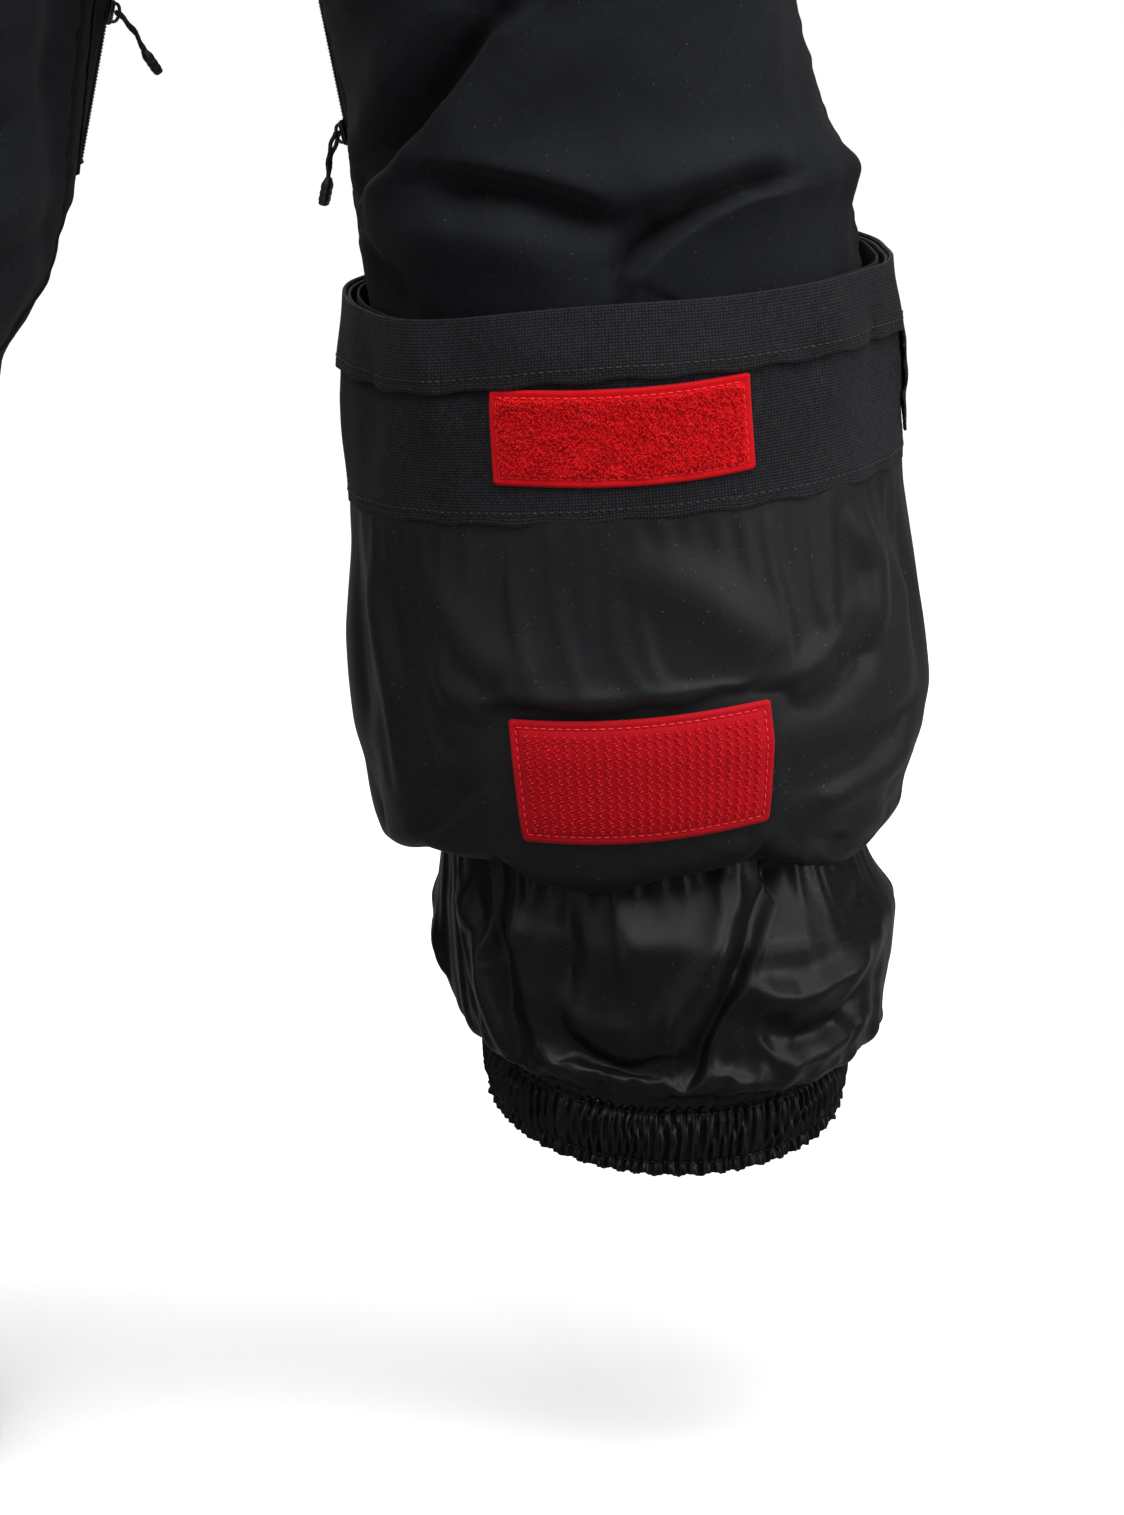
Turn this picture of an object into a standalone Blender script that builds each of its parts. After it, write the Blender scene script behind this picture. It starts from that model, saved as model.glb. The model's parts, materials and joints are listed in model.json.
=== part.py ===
"""Insulated snow and turnout trousers as worn, with the right cuff turned up and the left one let down.

Every piece of cloth is a thin shell that follows a leg, a cuff, a boot gaiter or the waist. Each of
those is a Tube: a stack of ellipses, so that a place on it is a height, an angle and a distance out.
Heights are metres above the wearer's ground, and the origin is the middle of the waist opening.
The wearer faces -Y. Angle 0 is the inner side of a leg, 90 its front, 180 its outer side, 270 its back.
"""

import math
from dataclasses import dataclass

import bmesh
import bpy
from mathutils import Matrix, Vector

# Driving dimensions, in metres
WAIST_TOP = 1.040
WAISTBAND_BOTTOM = 1.000
RIGHT_FOLD = 0.268
RIGHT_CUFF_TOP = 0.4880
LEFT_HEM = 0.040
GUARD_DEPTH = 0.084
HEM_BAND_DEPTH = 0.029
GAITER_TOP = 0.300
CASING_LOW = 0.1485
CASING_HIGH = 0.1765
PATCH_LENGTH = 0.105
LOOP_WIDTH = 0.038
HOOK_WIDTH = 0.050

# Thicknesses and the gap between pieces that touch, in metres
CLOTH = 0.0016
LINING = 0.0012
TAPE = 0.0008
PATCH = 0.0014
TAB = 0.0016
TAB_LIFT = 0.0010
GAP = 0.0004
MIDDLE_GAP = 0.0003
SEAM_GAP_DEGREES = 0.25

RIGHT, LEFT = -1, 1
SIDE_NAMES = {RIGHT: "right", LEFT: "left"}

# Colour, roughness and metallic value of each finish
FINISHES = {
    "main_fabric": ((0.020, 0.021, 0.024), 0.75, 0.0),
    "lining_fabric": ((0.018, 0.018, 0.020), 0.45, 0.0),
    "guard_fabric": ((0.013, 0.013, 0.016), 0.80, 0.0),
    "red_loop_pile": ((0.600, 0.006, 0.010), 0.90, 0.0),
    "red_hook_tape": ((0.450, 0.005, 0.012), 0.55, 0.0),
    "zip_tape": ((0.012, 0.012, 0.013), 0.70, 0.0),
    "zip_coil": ((0.010, 0.010, 0.011), 0.40, 0.0),
    "dark_metal": ((0.060, 0.060, 0.065), 0.35, 1.0),
    "pull_rubber": ((0.010, 0.010, 0.010), 0.60, 0.0),
    "elastic": ((0.010, 0.010, 0.011), 0.85, 0.0),
}


@dataclass(frozen=True)
class Section:
    """One ellipse of a tube. centre_x is measured outwards from the middle plane."""

    height: float
    centre_x: float
    half_width: float
    centre_y: float
    half_depth: float


@dataclass(frozen=True)
class Tilt:
    """How far a tube's rings rise at the front and the outer side, fading out going up."""

    front: float = 0.0
    outer: float = 0.0
    full_below: float = 0.0
    none_above: float = 1.0

    def rise(self, height, angle):
        fade = (self.none_above - height) / (self.none_above - self.full_below)
        share = min(1.0, max(0.0, fade))
        return share * (self.front * math.sin(angle) - self.outer * math.cos(angle))


@dataclass(frozen=True)
class Tube:
    """A stack of ellipses, lowest first, on one side of the middle plane."""

    side: int
    sections: tuple
    tilt: Tilt = Tilt()

    def section(self, height):
        stack = self.sections
        if height <= stack[0].height:
            return stack[0]
        for low, high in zip(stack, stack[1:]):
            if height <= high.height:
                share = (height - low.height) / (high.height - low.height)
                ends = zip(vars(low).values(), vars(high).values())
                return Section(*(a + share * (b - a) for a, b in ends))
        return stack[-1]

    def point(self, height, angle, out=0.0):
        """The point at this height and angle in degrees, this far out of the tube."""
        s = self.section(height)
        turn = math.radians(angle)
        x = self.side * (s.centre_x - (s.half_width + out) * math.cos(turn))
        y = s.centre_y - (s.half_depth + out) * math.sin(turn)
        return Vector((x, y, height + self.tilt.rise(height, turn) - WAIST_TOP))

    def inner_angle(self, height):
        """The angle in degrees where the section meets the middle plane or its own inseam."""
        s = self.section(height)
        reach = (s.centre_x - MIDDLE_GAP) / s.half_width
        return SEAM_GAP_DEGREES if reach >= 1 else math.degrees(math.acos(reach))

    def heights(self, low, high, step):
        """Heights from low to high no further apart than step, with each section between."""
        inside = [s.height for s in self.sections if low + 1e-6 < s.height < high - 1e-6]
        marks = [low, *inside, high]
        rows = [low]
        for a, b in zip(marks, marks[1:]):
            count = max(1, math.ceil((b - a) / step - 1e-6))
            rows += [a + (b - a) * i / count for i in range(1, count + 1)]
        return rows

    def arc(self, height, angle, length):
        """How many degrees a length of cloth spans round the tube at this place."""
        per_degree = (self.point(height, angle + 1) - self.point(height, angle)).length
        return length / per_degree


HIPS = (
    Section(0.790, 0.1056, 0.1050, 0.005, 0.1215),
    Section(0.800, 0.1030, 0.1068, 0.006, 0.1245),
    Section(0.815, 0.0963, 0.1130, 0.008, 0.1290),
    Section(0.840, 0.0776, 0.1294, 0.010, 0.1365),
    Section(0.880, 0.0485, 0.1565, 0.0108, 0.1412),
    Section(0.930, 0.0180, 0.1800, 0.0100, 0.1307),
    Section(0.970, 0.0000, 0.1850, 0.0055, 0.1225),
    Section(1.000, 0.0000, 0.1720, 0.0000, 0.1140),
)
RIGHT_LEG = Tube(
    RIGHT,
    (
        Section(RIGHT_FOLD, 0.1770, 0.0920, 0.000, 0.0740),
        Section(0.350, 0.1720, 0.0960, 0.000, 0.0780),
        Section(0.440, 0.1665, 0.0980, 0.000, 0.0820),
        Section(0.480, 0.1645, 0.0995, 0.000, 0.0860),
        Section(0.5154, 0.1580, 0.1005, -0.002, 0.0900),
        Section(0.5555, 0.1510, 0.0973, -0.004, 0.0910),
        Section(0.596, 0.1408, 0.0968, -0.004, 0.0930),
        Section(0.700, 0.1280, 0.1065, 0.001, 0.1060),
        *HIPS,
    ),
    Tilt(front=0.010, outer=0.009, full_below=0.490, none_above=0.555),
)
LEFT_LEG = Tube(
    LEFT,
    (
        Section(0.040, 0.1990, 0.1030, 0.004, 0.1000),
        Section(0.160, 0.1910, 0.0970, 0.004, 0.0940),
        Section(0.300, 0.1860, 0.0910, 0.004, 0.0860),
        Section(0.400, 0.1810, 0.0890, 0.002, 0.0840),
        Section(0.452, 0.1745, 0.0885, -0.002, 0.0860),
        Section(0.485, 0.1605, 0.0960, -0.006, 0.0910),
        Section(0.5154, 0.1560, 0.1000, -0.010, 0.0930),
        Section(0.5555, 0.1500, 0.0985, -0.010, 0.0930),
        Section(0.596, 0.1437, 0.0970, -0.008, 0.0940),
        Section(0.700, 0.1280, 0.1065, 0.001, 0.1060),
        *HIPS,
    ),
)
LEGS = {RIGHT: RIGHT_LEG, LEFT: LEFT_LEG}
RIGHT_CUFF = Tube(
    RIGHT,
    (
        Section(0.2620, 0.1775, 0.0965, 0.000, 0.0780),
        Section(0.2690, 0.1775, 0.1060, 0.000, 0.0870),
        Section(0.2880, 0.1768, 0.1120, 0.000, 0.0930),
        Section(0.3120, 0.1760, 0.1165, 0.000, 0.0970),
        Section(0.3500, 0.1720, 0.1155, 0.000, 0.0960),
        Section(0.4040, 0.1693, 0.1130, 0.000, 0.0940),
        Section(0.4475, 0.1665, 0.1125, 0.000, 0.0950),
        Section(0.4895, 0.1655, 0.1095, 0.000, 0.0960),
    ),
    RIGHT_LEG.tilt,
)
GAITER_TILT = Tilt(front=0.0205, outer=-0.002, full_below=0.178, none_above=0.266)
GAITERS = {
    RIGHT: Tube(
        RIGHT,
        (
            Section(CASING_LOW, 0.1860, 0.0725, 0.000, 0.0745),
            Section(CASING_HIGH, 0.1860, 0.0740, 0.000, 0.0750),
            Section(0.188, 0.1890, 0.0860, 0.000, 0.0820),
            Section(0.210, 0.1890, 0.0955, 0.000, 0.0870),
            Section(0.232, 0.1890, 0.0985, 0.000, 0.0860),
            Section(0.254, 0.1840, 0.0885, 0.000, 0.0695),
            Section(0.266, 0.1790, 0.0860, 0.000, 0.0670),
            Section(GAITER_TOP, 0.1760, 0.0820, 0.000, 0.0650),
        ),
        GAITER_TILT,
    ),
    LEFT: Tube(
        LEFT,
        (
            Section(CASING_LOW, 0.1910, 0.0725, 0.004, 0.0720),
            Section(CASING_HIGH, 0.1910, 0.0740, 0.004, 0.0725),
            Section(0.188, 0.1905, 0.0800, 0.004, 0.0770),
            Section(0.236, 0.1880, 0.0820, 0.004, 0.0780),
            Section(GAITER_TOP, 0.1860, 0.0820, 0.004, 0.0780),
        ),
        Tilt(front=0.010, outer=0.0, full_below=0.175, none_above=0.262),
    ),
}
WAIST = Tube(
    LEFT,
    (
        Section(WAISTBAND_BOTTOM, 0.0, 0.1740, 0.000, 0.1165),
        Section(WAIST_TOP, 0.0, 0.1705, 0.000, 0.1135),
    ),
)


def clear_scene():
    for old in list(bpy.data.objects):
        bpy.data.objects.remove(old)


def material(finish):
    """The Principled material of a finish, made once."""
    if finish in bpy.data.materials:
        return bpy.data.materials[finish]
    colour, roughness, metallic = FINISHES[finish]
    made = bpy.data.materials.new(finish)
    made.use_nodes = True
    shader = made.node_tree.nodes["Principled BSDF"]
    shader.inputs["Base Color"].default_value = (*colour, 1.0)
    shader.inputs["Roughness"].default_value = roughness
    shader.inputs["Metallic"].default_value = metallic
    made.diffuse_color = (*colour, 1.0)
    return made


def add_object(name, data, finish):
    """Puts a mesh or curve in the trousers' collection with its finish."""
    data.materials.append(material(finish))
    made = bpy.data.objects.new(name, data)
    bpy.data.collections["trousers"].objects.link(made)
    return made


def loft(name, rows, closed, outward, thickness, finish):
    """A shell whose outer skin runs through rows of points, made thick inwards.

    outward is 1 where rows climb and points run anticlockwise seen from above, else -1.
    """
    form = bmesh.new()
    grid = [[form.verts.new(p) for p in row] for row in rows]
    columns = len(rows[0])
    for low, high in zip(grid, grid[1:]):
        for i in range(columns if closed else columns - 1):
            j = (i + 1) % columns
            corners = [low[i], low[j], high[j], high[i]]
            form.faces.new(corners[::outward])
    mesh = bpy.data.meshes.new(name)
    form.to_mesh(mesh)
    form.free()
    mesh.shade_smooth()
    made = add_object(name, mesh, finish)
    solidify = made.modifiers.new("thickness", "SOLIDIFY")
    solidify.thickness = thickness
    solidify.offset = -1.0
    return made


def ring(name, tube, low, high, out, thickness, finish, step=0.03, columns=24):
    """A shell that goes all the way round a tube."""
    angles = [360 * i / columns for i in range(columns)]
    rows = [[tube.point(h, a, out) for a in angles] for h in tube.heights(low, high, step)]
    return loft(name, rows, True, tube.side, thickness, finish)


def panel(name, leg, front, low, finish):
    """The front or back cloth of a leg: from the inseam or the middle seam to the outseam."""
    columns = 12
    rows = []
    for height in leg.heights(low, WAISTBAND_BOTTOM - GAP, 0.05):
        first, last = leg.inner_angle(height), 180 - SEAM_GAP_DEGREES
        if not front:
            first, last = 180 + SEAM_GAP_DEGREES, 360 - first
        turn = (last - first) / columns
        rows.append([leg.point(height, first + turn * i) for i in range(columns + 1)])
    return loft(name, rows, False, leg.side, CLOTH, finish)


def patch(name, tube, low, high, first, last, out, thickness, finish):
    """A piece of cloth on a tube, between two heights and two angles, out above its surface."""
    columns = max(2, math.ceil((last - first) / 5.0))
    turn = (last - first) / columns
    angles = [first + turn * i for i in range(columns + 1)]
    top = out + thickness
    rows = [[tube.point(h, a, top) for a in angles] for h in tube.heights(low, high, 0.03)]
    return loft(name, rows, False, tube.side, thickness, finish)


def fastening_patch(name, tube, low, width, out, finish):
    """A hook or loop patch across the middle of the back."""
    half = tube.arc(low, 270, PATCH_LENGTH) / 2
    patch(name, tube, low, low + width, 270 - half, 270 + half, out, PATCH, finish)


def frame_between(start, end, facing):
    """A frame at start: Z along to end, Y out as near to facing as it can be, X across."""
    along = (end - start).normalized()
    across = facing.cross(along).normalized()
    out = along.cross(across)
    return Matrix.Translation(start) @ Matrix((across, out, along)).transposed().to_4x4()


def bevelled_box(name, low, high, bevel, frame, finish):
    """A box between two corners of a frame, with rounded edges."""
    form = bmesh.new()
    bmesh.ops.create_cube(form, size=1.0)
    low, high = Vector(low), Vector(high)
    size, middle = high - low, (high + low) / 2
    bmesh.ops.scale(form, vec=size, verts=form.verts)
    bmesh.ops.translate(form, vec=middle, verts=form.verts)
    mesh = bpy.data.meshes.new(name)
    form.to_mesh(mesh)
    form.free()
    made = add_object(name, mesh, finish)
    made.matrix_world = frame
    rounding = made.modifiers.new("rounding", "BEVEL")
    rounding.width = bevel
    rounding.segments = 2
    return made


def outline(name, loops, thickness, frame, finish):
    """A flat plate: the first loop is its edge and any others are holes, in the frame's XY."""
    curve = bpy.data.curves.new(name, "CURVE")
    curve.dimensions = "2D"
    curve.fill_mode = "BOTH"
    curve.extrude = thickness / 2
    for points in loops:
        spline = curve.splines.new("POLY")
        spline.points.add(len(points) - 1)
        for point, (x, y) in zip(spline.points, points):
            point.co = (x, y, 0, 1)
        spline.use_cyclic_u = True
    made = add_object(name, curve, finish)
    made.matrix_world = frame
    return made


def rounded_rectangle(x0, x1, y0, y1, radius, steps=3):
    """The points round a rectangle with round corners."""
    corners = ((x1, y1, 0), (x0, y1, 90), (x0, y0, 180), (x1, y0, 270))
    points = []
    for x, y, start in corners:
        centre_x = x - math.copysign(radius, x - (x0 + x1) / 2)
        centre_y = y - math.copysign(radius, y - (y0 + y1) / 2)
        for i in range(steps + 1):
            turn = math.radians(start + 90 * i / steps)
            points.append((centre_x + radius * math.cos(turn), centre_y + radius * math.sin(turn)))
    return points


@dataclass(frozen=True)
class Zip:
    """A straight zip that lies on cloth, with its slider and the pull that hangs from it.

    slider_at is the share of the way up where the slider stands, and hang is how many degrees
    the pull stands out from the cloth.
    """

    name: str
    start: Vector
    end: Vector
    facing: Vector
    slider_at: float
    pull_length: float
    pull_width: float
    hang: float

    COIL_WIDTH = 0.0046
    COIL_DEPTH = 0.0016
    SLIDER_WIDTH = 0.0080
    SLIDER_LENGTH = 0.0110
    BASE_DEPTH = 0.0018
    BRIDGE_TOP = 0.0062
    WINDOW_LOW = 0.0022
    WINDOW_HIGH = 0.0050
    PIVOT_OUT = 0.0036
    PULL_THICKNESS = 0.0014

    def frame(self):
        return frame_between(self.start, self.end, self.facing)

    def slider_frame(self):
        """On the coil's outer face, where the slider stands."""
        length = (self.end - self.start).length
        shift = Vector((0, self.COIL_DEPTH + GAP, length * self.slider_at))
        return self.frame() @ Matrix.Translation(shift)

    def coil(self):
        length = (self.end - self.start).length
        half = self.COIL_WIDTH / 2
        top = (half, self.COIL_DEPTH, length)
        bevelled_box(f"{self.name}_zip_coil", (-half, 0, 0), top, 0.0004, self.frame(), "zip_coil")

    def slider(self):
        """A plate over the coil with a bridge, made as one profile pushed across."""
        half = self.SLIDER_LENGTH / 2
        foot = [(half, 0), (half, self.BASE_DEPTH), (half * 0.62, self.BASE_DEPTH)]
        crown = [
            (half * 0.62, self.WINDOW_HIGH),
            (half * 0.40, self.BRIDGE_TOP),
            (-half * 0.40, self.BRIDGE_TOP),
            (-half * 0.62, self.WINDOW_HIGH),
        ]
        heel = [(-half * 0.62, self.BASE_DEPTH), (-half, self.BASE_DEPTH), (-half, 0)]
        window = rounded_rectangle(
            -half * 0.38, half * 0.38, self.WINDOW_LOW, self.WINDOW_HIGH, 0.0006, 2
        )
        # The profile lies in the frame's Z and Y, so it is turned to run along the zip.
        turn = Matrix(((0, 0, 1), (0, 1, 0), (-1, 0, 0))).to_4x4()
        frame = self.slider_frame() @ turn
        edge = foot + crown + heel
        outline(f"{self.name}_zip_slider", [edge, window], self.SLIDER_WIDTH, frame, "dark_metal")

    def pull(self):
        """A plate whose eye passes through the slider's window, with a wide grip at its end."""
        pivot = self.slider_frame() @ Matrix.Translation((0, self.PIVOT_OUT, 0))
        frame = pivot @ Matrix.Rotation(math.radians(self.hang - 90), 4, "X")
        neck, grip = self.SLIDER_WIDTH / 2 + 0.0022, self.pull_width / 2
        far, near = self.pull_length, -PULL_BAR / 2
        shoulder = far - 1.5 * self.pull_width
        edge = [
            (neck, near),
            (neck, 0.0085),
            (0.0021, 0.0115),
            (0.0021, shoulder - 0.002),
            (grip, shoulder + 0.001),
            (grip, far - 0.0015),
            (grip - 0.0015, far),
            (-grip + 0.0015, far),
            (-grip, far - 0.0015),
            (-grip, shoulder + 0.001),
            (-0.0021, shoulder - 0.002),
            (-0.0021, 0.0115),
            (-neck, 0.0085),
            (-neck, near),
        ]
        inner = self.SLIDER_WIDTH / 2 + 0.0006
        eye = rounded_rectangle(-inner, inner, PULL_BAR / 2, 0.0082, 0.0008, 2)
        outline(f"{self.name}_zip_pull", [edge, eye], self.PULL_THICKNESS, frame, "pull_rubber")

    def build(self):
        self.coil()
        self.slider()
        self.pull()


PULL_BAR = 0.0016


def leg_zip(name, leg, angle, low, high, lift, **looks):
    """A zip up a leg at one angle, lifted clear of the cloth's bulge."""
    start, end = leg.point(low, angle), leg.point(high, angle)
    middle = (low + high) / 2
    tangent = leg.point(middle, angle + 1) - leg.point(middle, angle - 1)
    facing = (leg.side * tangent.cross(end - start)).normalized()
    shift = facing * lift
    return Zip(name, start + shift, end + shift, facing, **looks)


def build_leg_cloth():
    panel("right_front_panel", RIGHT_LEG, True, RIGHT_FOLD, "main_fabric")
    panel("right_back_panel", RIGHT_LEG, False, RIGHT_FOLD, "main_fabric")
    panel("left_front_panel", LEFT_LEG, True, LEFT_HEM, "main_fabric")
    panel("left_back_panel", LEFT_LEG, False, LEFT_HEM, "main_fabric")
    for side, leg in LEGS.items():
        name = f"{SIDE_NAMES[side]}_knee_patch"
        patch(name, leg, 0.500, 0.640, 52, 128, GAP, PATCH, "guard_fabric")


def build_right_cuff():
    """The turned-up cuff: its own cloth inside, then the lining, the guard and the hem band."""
    guard_low = RIGHT_CUFF_TOP - GUARD_DEPTH
    band_low = RIGHT_CUFF_TOP - HEM_BAND_DEPTH
    inside = -(LINING + GAP)
    cuff = RIGHT_CUFF
    ring("right_cuff_cloth", cuff, 0.288, RIGHT_CUFF_TOP - 0.001, inside, 0.001, "main_fabric")
    ring("right_cuff_lining", cuff, 0.262, guard_low - GAP, 0.0, LINING, "lining_fabric")
    ring("right_cuff_guard", cuff, guard_low, RIGHT_CUFF_TOP - 0.001, 0.0, LINING, "guard_fabric")
    band_out = GAP + PATCH
    ring("right_hem_band", cuff, band_low, RIGHT_CUFF_TOP, band_out, PATCH, "guard_fabric")
    loop_low = band_low - LOOP_WIDTH - 0.0015
    fastening_patch("right_loop_patch", cuff, loop_low, LOOP_WIDTH, GAP, "red_loop_pile")
    fastening_patch("right_hook_patch", cuff, 0.2785, HOOK_WIDTH, GAP, "red_hook_tape")


def build_left_cuff():
    """The let-down cuff: lining, guard, hem band and the two patches, all inside the leg."""
    leg = LEFT_LEG
    guard_high = LEFT_HEM + GUARD_DEPTH
    lining_out = -(CLOTH + 0.0022)
    ring(
        "left_cuff_lining", leg, guard_high + GAP, 0.262, lining_out, LINING, "lining_fabric"
    )
    ring("left_cuff_guard", leg, LEFT_HEM + 0.001, guard_high, lining_out, LINING, "guard_fabric")
    band_out = lining_out - LINING - 0.0008
    band_high = LEFT_HEM + HEM_BAND_DEPTH
    ring("left_hem_band", leg, LEFT_HEM + 0.001, band_high, band_out, PATCH, "guard_fabric")
    patch_out = lining_out - LINING - PATCH - 0.0012
    loop_low = band_high + 0.0015
    fastening_patch("left_loop_patch", leg, loop_low, LOOP_WIDTH, patch_out, "red_loop_pile")
    fastening_patch("left_hook_patch", leg, 0.1840, HOOK_WIDTH, patch_out, "red_hook_tape")


def build_gaiter(side):
    """The inner gaiter: a skirt sewn in high up, its elastic casing, the tab and the lace hook."""
    tube, name = GAITERS[side], SIDE_NAMES[side]
    skirt_low = CASING_HIGH + GAP
    ring(f"{name}_gaiter_skirt", tube, skirt_low, GAITER_TOP, 0.0, LINING, "lining_fabric")
    ring(f"{name}_gaiter_casing", tube, CASING_LOW, CASING_HIGH, 0.0, LINING, "lining_fabric")
    elastic_low, elastic_high = CASING_LOW + 0.002, CASING_HIGH - 0.002
    inside = -(LINING + GAP)
    ring(f"{name}_gaiter_elastic", tube, elastic_low, elastic_high, inside, LINING, "elastic")

    # The tab is sewn to the front of the casing, and the hook swings at its lower edge.
    low = tube.point(CASING_LOW, 90)
    face = Matrix.Translation(low + Vector((0, -TAB_LIFT, 0)))
    bevelled_box(
        f"{name}_gaiter_tab", (-0.010, -TAB, -0.014), (0.010, 0, 0.013), 0.0004, face, "zip_tape"
    )
    hook = bpy.data.curves.new(f"{name}_gaiter_hook", "CURVE")
    hook.dimensions = "3D"
    hook.bevel_depth = 0.0011
    hook.bevel_resolution = 2
    hook.use_fill_caps = True
    turned = [
        (0.0045 * math.sin(math.radians(t)), -0.0165 - 0.0045 * math.cos(math.radians(t)))
        for t in range(0, 181, 30)
    ]
    line = [(0, -0.003), (0, -0.013), (-0.002, -0.0185)]
    points = [(0, y, z) for y, z in line + [(0.0030 + y, z + 0.0015) for y, z in turned]]
    spline = hook.splines.new("POLY")
    spline.points.add(len(points) - 1)
    for place, point in zip(spline.points, points):
        place.co = (*point, 1)
    made = add_object(f"{name}_gaiter_hook", hook, "dark_metal")
    made.location = low + Vector((0, -TAB_LIFT - TAB / 2, -0.0115))


def build_waist():
    """The waistband with its front tab, snap, belt loops and the two adjuster tabs."""
    opening = 2.5
    band_thickness = 0.003
    first, last = 90 + opening, 450 - opening
    turn = (last - first) / 48
    angles = [first + turn * i for i in range(49)]
    rows = [[WAIST.point(h, a) for a in angles] for h in (WAISTBAND_BOTTOM, WAIST_TOP)]
    loft("waistband", rows, False, 1, band_thickness, "main_fabric")

    low, high = WAISTBAND_BOTTOM + 0.002, WAIST_TOP - 0.002
    patch("waist_tab", WAIST, low, high, 78, 104, 0.0030, 0.0022, "main_fabric")
    build_snap()
    for name, angle in (("back", 270), ("right", 0), ("left", 180)):
        belt_loop(f"{name}_belt_loop", angle)
    for name, first, last in (("right", 22, 50), ("left", 130, 158)):
        patch(f"{name}_adjuster_tab", WAIST, 1.008, 1.032, first, last, 0.001, PATCH, "guard_fabric")


def turned(name, profile, frame, finish):
    """A turned piece: its profile's points are radius and distance along the frame's Y."""
    mesh = bpy.data.meshes.new(name)
    points = [(radius, 0, along) for radius, along in profile]
    mesh.from_pydata(points, [(i, i + 1) for i in range(len(points) - 1)], [])
    made = add_object(name, mesh, finish)
    made.matrix_world = frame
    screw = made.modifiers.new("turn", "SCREW")
    screw.steps = screw.render_steps = 24
    screw.use_merge_vertices = True
    screw.merge_threshold = 0.00005
    screw.use_smooth_shade = True
    return made


SNAP_ANGLE = 84
SNAP_HEIGHT = 1.020


def build_snap():
    """A press stud: the post on the waistband under the tab, and the cap on the tab."""
    tilt = Matrix.Rotation(math.radians(90), 4, "X")
    base = WAIST.point(SNAP_HEIGHT, SNAP_ANGLE)
    band_face = Matrix.Translation(base + Vector((0, -0.0007, 0))) @ tilt
    post = [(0.0, 0.0018), (0.0025, 0.0018), (0.0032, 0.0012), (0.0050, 0.0006), (0.0050, 0.0), (0.0, 0.0)]
    turned("waist_snap_post", post, band_face, "dark_metal")
    tab_face = Matrix.Translation(base + Vector((0, -0.0061, 0))) @ tilt
    cap = [(0.0, 0.0022), (0.0050, 0.0022), (0.0066, 0.0016), (0.0072, 0.0006), (0.0072, 0.0), (0.0, 0.0)]
    turned("waist_snap_cap", cap, tab_face, "dark_metal")


def belt_loop(name, angle):
    """A strap that stands off the waistband in the middle, so that a belt passes under it."""
    half = WAIST.arc(SNAP_HEIGHT, angle, 0.011) / 2
    profile = ((0.9965, 0.0026), (1.0005, 0.0040), (1.0045, 0.0086), (1.0110, 0.0102), (1.0290, 0.0102))
    top = ((1.0355, 0.0086), (1.0395, 0.0040), (1.0420, 0.0026))
    rows = [
        [WAIST.point(h, angle + half * step, out) for step in (-1, 0, 1)]
        for h, out in profile + top
    ]
    loft(name, rows, False, 1, 0.0016, "main_fabric")


def build_pockets():
    """A flat cargo pocket with its flap on the outside of each thigh."""
    for side, leg in LEGS.items():
        name = SIDE_NAMES[side]
        patch(f"{name}_cargo_pocket", leg, 0.610, 0.765, 146, 204, GAP, PATCH, "main_fabric")
        flap_out = 2 * GAP + PATCH + 0.0002
        patch(f"{name}_cargo_flap", leg, 0.738, 0.786, 144, 206, flap_out, PATCH, "main_fabric")


VENT_LOW, VENT_HIGH, VENT_ANGLE = 0.530, 0.725, 18
POCKET_LOW, POCKET_HIGH, POCKET_ANGLE = 0.842, 0.968, 130
FLY_LOW, FLY_HIGH = 0.885, 0.996
# Where each vent's slider stands, as a height: the left vent is a little open.
VENT_SLIDER = {RIGHT: 0.545, LEFT: 0.592}
VENT_HANG = {RIGHT: 28, LEFT: 48}


def build_zips():
    for side, leg in LEGS.items():
        name = SIDE_NAMES[side]
        half = leg.arc(0.6, VENT_ANGLE, 0.012)
        first, last = VENT_ANGLE - half, VENT_ANGLE + half
        low, high = VENT_LOW - 0.006, VENT_HIGH + 0.006
        patch(f"{name}_vent_zip_tape", leg, low, high, first, last, GAP, TAPE, "zip_tape")
        at = (VENT_SLIDER[side] - VENT_LOW) / (VENT_HIGH - VENT_LOW)
        vent = leg_zip(
            f"{name}_vent", leg, VENT_ANGLE, VENT_LOW, VENT_HIGH, 0.0024,
            slider_at=at, pull_length=0.030, pull_width=0.0070, hang=VENT_HANG[side],
        )
        vent.build()

        half = leg.arc(0.9, POCKET_ANGLE, 0.012)
        first, last = POCKET_ANGLE - half, POCKET_ANGLE + half
        low, high = POCKET_LOW - 0.006, POCKET_HIGH + 0.006
        patch(f"{name}_pocket_zip_tape", leg, low, high, first, last, 2 * GAP, TAPE, "zip_tape")
        hand = leg_zip(
            f"{name}_pocket", leg, POCKET_ANGLE, POCKET_LOW, POCKET_HIGH, 0.0063,
            slider_at=0.95, pull_length=0.026, pull_width=0.0060, hang=8,
        )
        hand.build()
    build_fly()


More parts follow.
